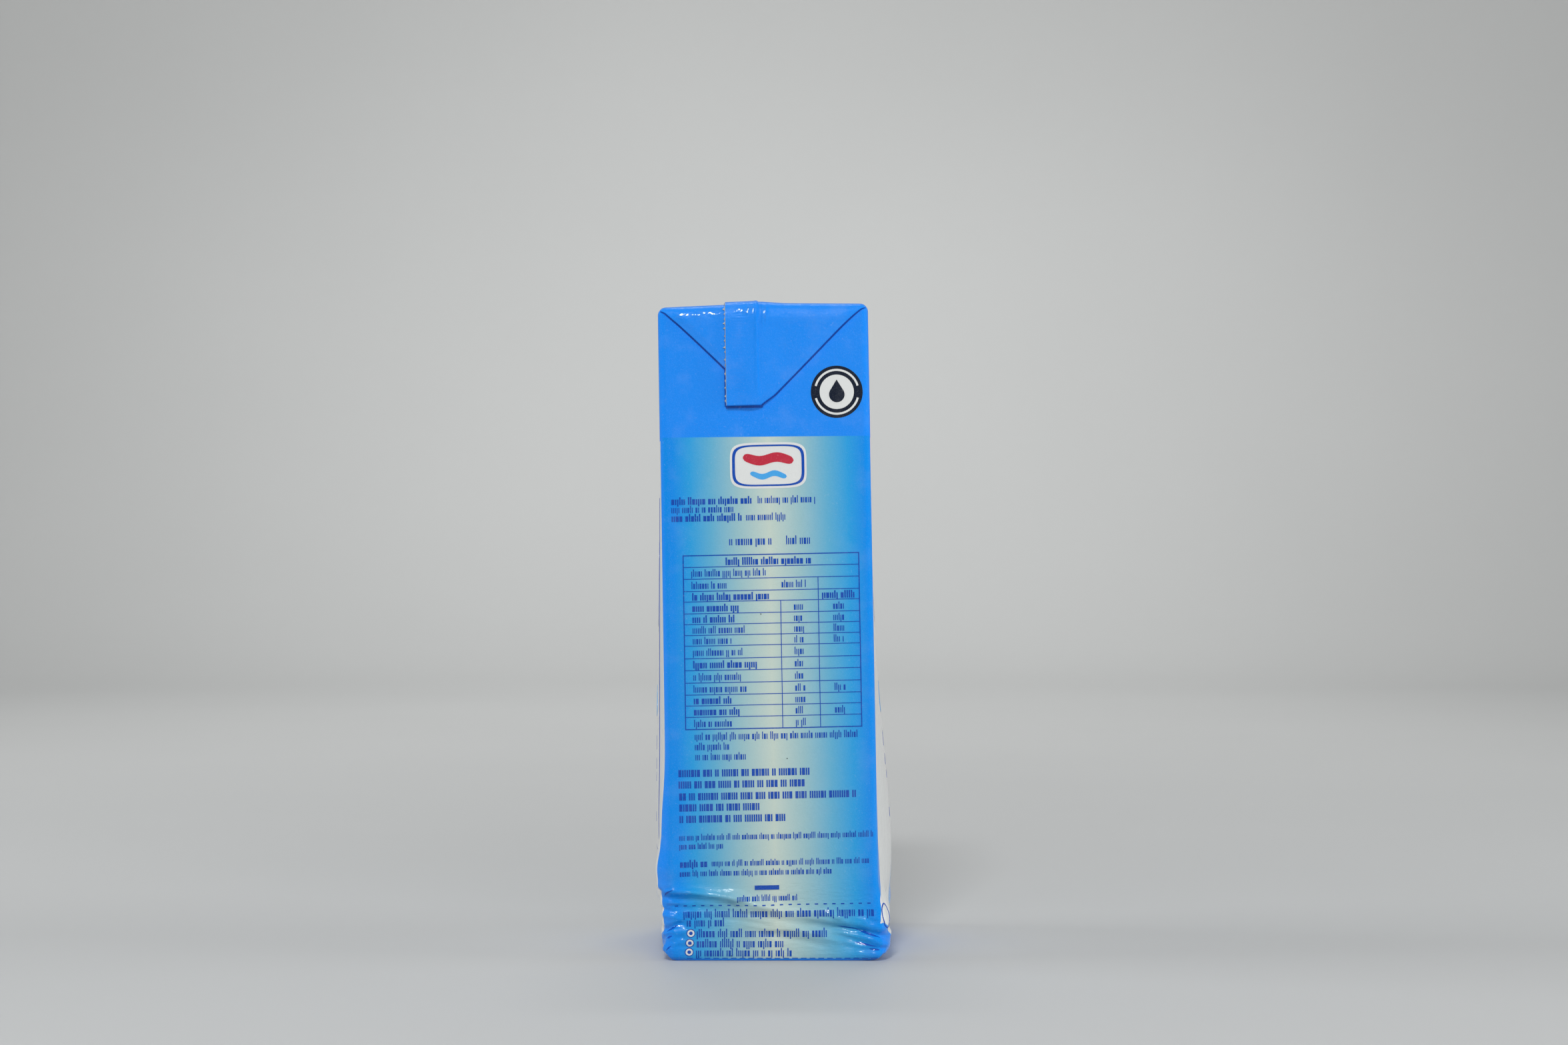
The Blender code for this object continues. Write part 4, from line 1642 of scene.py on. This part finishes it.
    def paint_fold_shade(self, panel: Panel) -> None:
        """Painted shade: dark lines beside the ear's folds, under its lower end and beside the seal's cut
        edge, where the flap shades the wall.

        Args:
            panel: The narrow side, front or back.
        """
        flap, top = self.flap, self.form.height / MM
        runs = np.linspace(0.0004, flap.reach, 96)
        folds = np.array([flap.folds(run) for run in runs]) / MM
        cut = flap.cut / MM
        under_seal = folds[:, 0] < cut + 0.3
        turn = 1
        if panel is Panel.BACK:
            turn = -1
        up = top - runs / MM
        for fold, out in ((folds[:, 0], -1), (folds[:, 1], 1)):
            shown = under_seal if out < 0 else runs > 0
            outer = np.column_stack((turn * (fold + out * self.fold_line), up))[shown]
            inner = np.column_stack((turn * (fold - out * 0.25), up))[shown]
            lower, upper = outer, inner
            if out * turn > 0:
                lower, upper = outer[::-1], inner[::-1]
            self.crease.strip(panel, lower, upper)
        # Painted shade under the flap's lower end, and beside the seal's cut edge below the left fold
        end = top - flap.reach / MM
        ends = sorted((turn * (cut - 0.15), turn * (folds[-1, 1] + 0.45)))
        self.crease.bar(panel, *ends, end - self.end_line, end + 0.1)
        side = sorted((turn * (cut - 0.42), turn * (cut + 0.1)))
        self.crease.bar(panel, *side, end - 0.2, end + 8.6)

    def paint_pleat_shade(self, panel: Panel, start: tuple[float, float], end: tuple[float, float],
              thick: float) -> None:
        """Painted shade: a dark line along a sharp fold of the crumpled sheet, tapered to both ends."""
        shares = np.linspace(0.0, 1.0, 17)
        line = np.outer(1 - shares, start) + np.outer(shares, end)
        along = np.array(end) - np.array(start)
        aside = np.array((-along[1], along[0])) / np.linalg.norm(along)
        half = np.outer(np.maximum(np.sin(math.pi * shares), 0.02) * thick / 2, aside)
        self.crease.strip(panel, line - half, line + half)

    def badge(self, panel: Panel, middle: tuple[float, float]) -> None:
        """A plain round mark: a white disc in a dark ring, with a dark drop on it."""
        radius = self.badge_radius
        self.black.disc(panel, middle, lambda angle: np.full_like(angle, radius), count=96)
        self.top_white.disc(panel, middle, lambda angle: np.full_like(angle, 0.66 * radius), count=72)
        for start in (0.28, math.pi + 0.28):
            turns = np.linspace(start, start + math.pi - 0.56, 29)
            ways = np.column_stack((np.cos(turns), np.sin(turns)))
            self.top_white.strip(panel, np.array(middle) + ways * 0.88 * radius,
                                 np.array(middle) + ways * 0.80 * radius)
        self.top_black.disc(panel, (middle[0], middle[1] - 0.10 * radius),
                            self.drop_outline(0.30 * radius), count=64)

    def icon(self, panel: Panel, middle: tuple[float, float]) -> None:
        """A small white disc with a blue ring and a blue dot."""
        self.white.disc(panel, middle, lambda angle: np.full_like(angle, 1.0), count=32)
        self.over.disc(panel, middle, lambda angle: np.full_like(angle, 1.0), hole=0.82, count=32)
        self.over.disc(panel, middle, lambda angle: np.full_like(angle, 0.42), count=16)

    def front(self) -> None:
        """The marks of the photographed side."""
        panel = Panel.FRONT
        self.plate(panel, self.plate_middle, 17.4)
        self.badge(panel, self.badge_middle)
        self.rows(panel, HEADING_ROWS + NOTE_ROWS, self.dark)
        self.table(panel)
        self.dark.dashes(panel, -22.1, 23.9, 12.85, 0.76, 1.97, 0.26)
        self.dark.dashes(panel, -19.5, 23.6, 0.22, 1.3, 1.97, 0.26)
        self.over.bar(panel, -4.0, 1.5, 16.3, 17.3)
        self.paint_fold_shade(panel)
        for start, end, thick in PLEAT_SHADES:
            self.paint_pleat_shade(panel, start, end, thick)
        for middle in self.icons:
            self.icon(panel, middle)
        for middle in self.specks:
            self.black.disc(panel, middle, lambda angle: 0.13 + 0.04 * np.cos(3 * angle), count=9)

    def back(self) -> None:
        """The marks of the hidden narrow side: a plate, a bare field in a frame, and rows."""
        panel = Panel.BACK
        self.plate(panel, (0.0, 112.9), 17.4)
        for middle, tall in ((-12.0, 8.2), (0.0, 8.2), (12.0, 8.2)):
            self.light.disc(panel, (middle, 93.0), self.drop_outline(0.32 * tall))
        self.rows(panel, BACK_ROWS, self.dark)
        thick = self.frame_line
        for up in (34.0, 56.0):
            self.dark.bar(panel, -18.0, 18.0, up - thick / 2, up + thick / 2)
        for across in (-18.0, 18.0):
            self.over.bar(panel, across - thick / 2, across + thick / 2, 34.0, 56.0)
        self.dark.dashes(panel, -22.1, 22.1, 12.85, 0.76, 1.97, 0.26)
        self.dark.dashes(panel, -21.5, 21.5, 0.22, 1.3, 1.97, 0.26)
        self.paint_fold_shade(panel)

    def wide(self, panel: Panel) -> None:
        """The marks of a wide face: a framed field with a large plate and a row of drops."""
        thick, side = self.rule, self.wide_frame
        if panel is Panel.LEFT:
            for across in (-side, side):
                self.over.bar(panel, across - thick / 2, across + thick / 2, 24.0, 106.0)
            for up in (24.0, 106.0):
                self.dark.bar(panel, -side, side, up - thick / 2, up + thick / 2)
        self.plate(panel, (0.0, 86.0), 38.0)
        for middle, radius in ((-11.0, 1.8), (-4.2, 2.6), (4.2, 2.6), (11.0, 1.8)):
            self.light.disc(panel, (middle, 57.0), self.drop_outline(radius))
        self.rows(panel, WIDE_ROWS, self.dark)

    def ring(self, panel: Panel, middle: tuple[float, float], wide: float, high: float) -> None:
        """A plain upright ring."""
        self.over.disc(
            panel, middle,
            lambda angle: 1 / np.hypot(np.cos(angle) / wide, np.sin(angle) / high),
            hole=0.90, count=64,
        )

    def build(self) -> list[bpy.types.Object]:
        """Lays out every side and builds the inks.

        Returns:
            One piece for each ink.
        """
        self.front()
        self.back()
        self.wide(Panel.LEFT)
        self.wide(Panel.RIGHT)
        self.ring(Panel.RIGHT, self.ring_middle, 1.45, 2.8)
        inks = (self.dark, self.white, self.over, self.light, self.red, self.black,
                self.top_white, self.top_black, self.crease)
        return [ink.build() for ink in inks if ink.marks]


# The studio


@dataclass(frozen=True)
class Lamp:
    """A rectangular soft light: where it is and aims, its size, its power and its glints."""

    name: str
    place: tuple[float, float, float]
    aim: tuple[float, float, float]
    size: tuple[float, float]
    power: float
    glints: bool = True


@dataclass(frozen=True)
class Studio:
    """A pale round sweep, soft lights and the camera."""

    floor_radius: float = 1.3
    sweep_radius: float = 0.5
    wall_top: float = 1.7
    camera_place: tuple[float, float, float] = (0.00238, -0.796, 0.0999)
    focal_pixels: float = 5004.0
    picture_width: float = 2352.0
    sensor: float = 36.0
    world: Colour = display(226, 229, 232)
    world_strength: float = 0.288
    lamps: tuple[Lamp, ...] = (
        Lamp("key", (-0.12, -1.05, 0.90), (0.0, 0.0, 0.08), (0.20, 0.16), 8.3),
        Lamp("fill", (0.35, -1.35, 0.55), (0.0, 0.0, 0.08), (1.00, 0.80), 3.6, False),
        Lamp("left", (-1.15, 0.05, 0.55), (0.0, 0.0, 0.08), (0.60, 0.60), 5.6, False),
        Lamp("right", (1.15, -0.10, 0.24), (0.0, 0.0, 0.08), (0.60, 0.30), 6.4, False),
        Lamp("wash", (0.0, 0.75, 1.60), (0.0, 1.80, 0.30), (0.60, 0.30), 10.0),
    )

    def sweep(self) -> bpy.types.Object:
        """The floor, which rises into a wall all round. Its colour holds painted light falloff: lighter
        away from the carton, and darker again far to the sides and high up the wall.

        Returns:
            The floor.
        """
        turns = np.radians(np.linspace(0, 90, 17))
        radii = np.concatenate((np.linspace(0.04, self.floor_radius, 12),
                                self.floor_radius + self.sweep_radius * np.sin(turns[1:]),
                                [self.floor_radius + self.sweep_radius]))
        heights = np.concatenate((np.zeros(12), self.sweep_radius * (1 - np.cos(turns[1:])),
                                  [self.wall_top]))
        count = 96
        angles = np.linspace(0, math.tau, count, endpoint=False)
        points = np.concatenate([
            np.column_stack((radius * np.cos(angles), radius * np.sin(angles),
                             np.full(count, height)))
            for radius, height in zip(radii, heights)
        ])
        faces = [
            (ring * count + i, (ring + 1) * count + i,
             (ring + 1) * count + (i + 1) % count, ring * count + (i + 1) % count)
            for ring in range(len(radii) - 1)
            for i in range(count)
        ]
        faces.append(tuple(range(count)))
        floor = mesh_piece("floor", points, faces)
        graph = Graph("floor_with_painted_falloff")
        cloud = graph.noise(0.25, 2.0)
        # Painted light: the sweep is painted lighter away from the carton, where the lamps light it less
        low = graph.mix(cloud, display(191, 193, 193), display(197, 198, 198))
        high = graph.mix(cloud, display(211, 212, 211), display(216, 217, 216))
        # Painted shade: far to the sides and high up the wall the sweep is painted darker again, a painted
        # vignette
        beyond = graph.edge(self.away(graph, "X", "Z", 0.1), 0.45, 0.35)
        high = graph.mix(graph.math("MULTIPLY", beyond, 0.30), high, (0.0, 0.0, 0.0))
        shade = graph.mix(graph.edge(self.away(graph, "X", "Y"), 0.55, 0.50), low, high)
        graph.feed(graph.shader.inputs["Base Color"], shade)
        graph.shader.inputs["Roughness"].default_value = 0.6
        graph.shader.inputs["Specular IOR Level"].default_value = 0.25
        floor.data.materials.append(graph.material)
        return floor

    def away(self, graph: Graph, first: str, second: str, middle: float = 0.0) -> Socket:
        """How far a place of the sweep is from an axis.

        Args:
            graph: The sweep's finish.
            first: The first way that counts.
            second: The second way that counts.
            middle: Where the axis lies on the second way.

        Returns:
            The distance in metres.
        """
        split = graph.tree.nodes.new("ShaderNodeSeparateXYZ")
        place = graph.tree.nodes.new("ShaderNodeTexCoord").outputs["Object"]
        graph.feed(split.inputs["Vector"], place)
        ways = (split.outputs[first], graph.math("SUBTRACT", split.outputs[second], middle))
        squares = [graph.math("MULTIPLY", way, way) for way in ways]
        return graph.math("SQRT", graph.math("ADD", *squares))

    def light(self, lamp: Lamp) -> None:
        """Hangs one soft light."""
        data = bpy.data.lights.new(lamp.name, "AREA")
        data.shape = "RECTANGLE"
        data.size, data.size_y = lamp.size
        data.energy = lamp.power
        made = bpy.data.objects.new(lamp.name, data)
        made.location = lamp.place
        aim = Vector(lamp.aim) - Vector(lamp.place)
        made.rotation_euler = aim.to_track_quat("-Z", "Y").to_euler()
        made.visible_camera = False
        made.visible_glossy = lamp.glints
        bpy.context.scene.collection.objects.link(made)

    def camera(self) -> None:
        """Sets up the camera at the photograph's viewpoint."""
        data = bpy.data.cameras.new("camera")
        data.sensor_width = self.sensor
        data.lens = self.sensor * self.focal_pixels / self.picture_width
        made = bpy.data.objects.new("camera", data)
        made.location = self.camera_place
        made.rotation_euler = (math.radians(90), 0.0, 0.0)
        bpy.context.scene.collection.objects.link(made)
        bpy.context.scene.camera = made

    def build(self) -> None:
        """Sets up the sweep, the lights, the sky and the camera."""
        self.sweep()
        for lamp in self.lamps:
            self.light(lamp)
        world = bpy.data.worlds.new("sky")
        world.use_nodes = True
        sky = world.node_tree.nodes["Background"]
        sky.inputs["Color"].default_value = (*self.world, 1.0)
        sky.inputs["Strength"].default_value = self.world_strength
        bpy.context.scene.world = world
        bpy.context.scene.view_settings.view_transform = "Standard"
        self.camera()


def main() -> None:
    """Builds the carton piece by piece, and then the studio round it."""
    logging.basicConfig(level=logging.INFO, format="%(message)s")
    form = PackForm()
    flap = TopFlap(form)
    pieces = [CartonBody(form).build(), flap.build(), SealEdge(flap).build()]
    pieces += UnderFlaps(form).build()
    pieces += Print(form, flap).build()
    for piece in pieces:
        LOG.info("%s: %d faces", piece.name, len(piece.data.polygons))
    Studio().build()


if __name__ == "__main__":
    main()
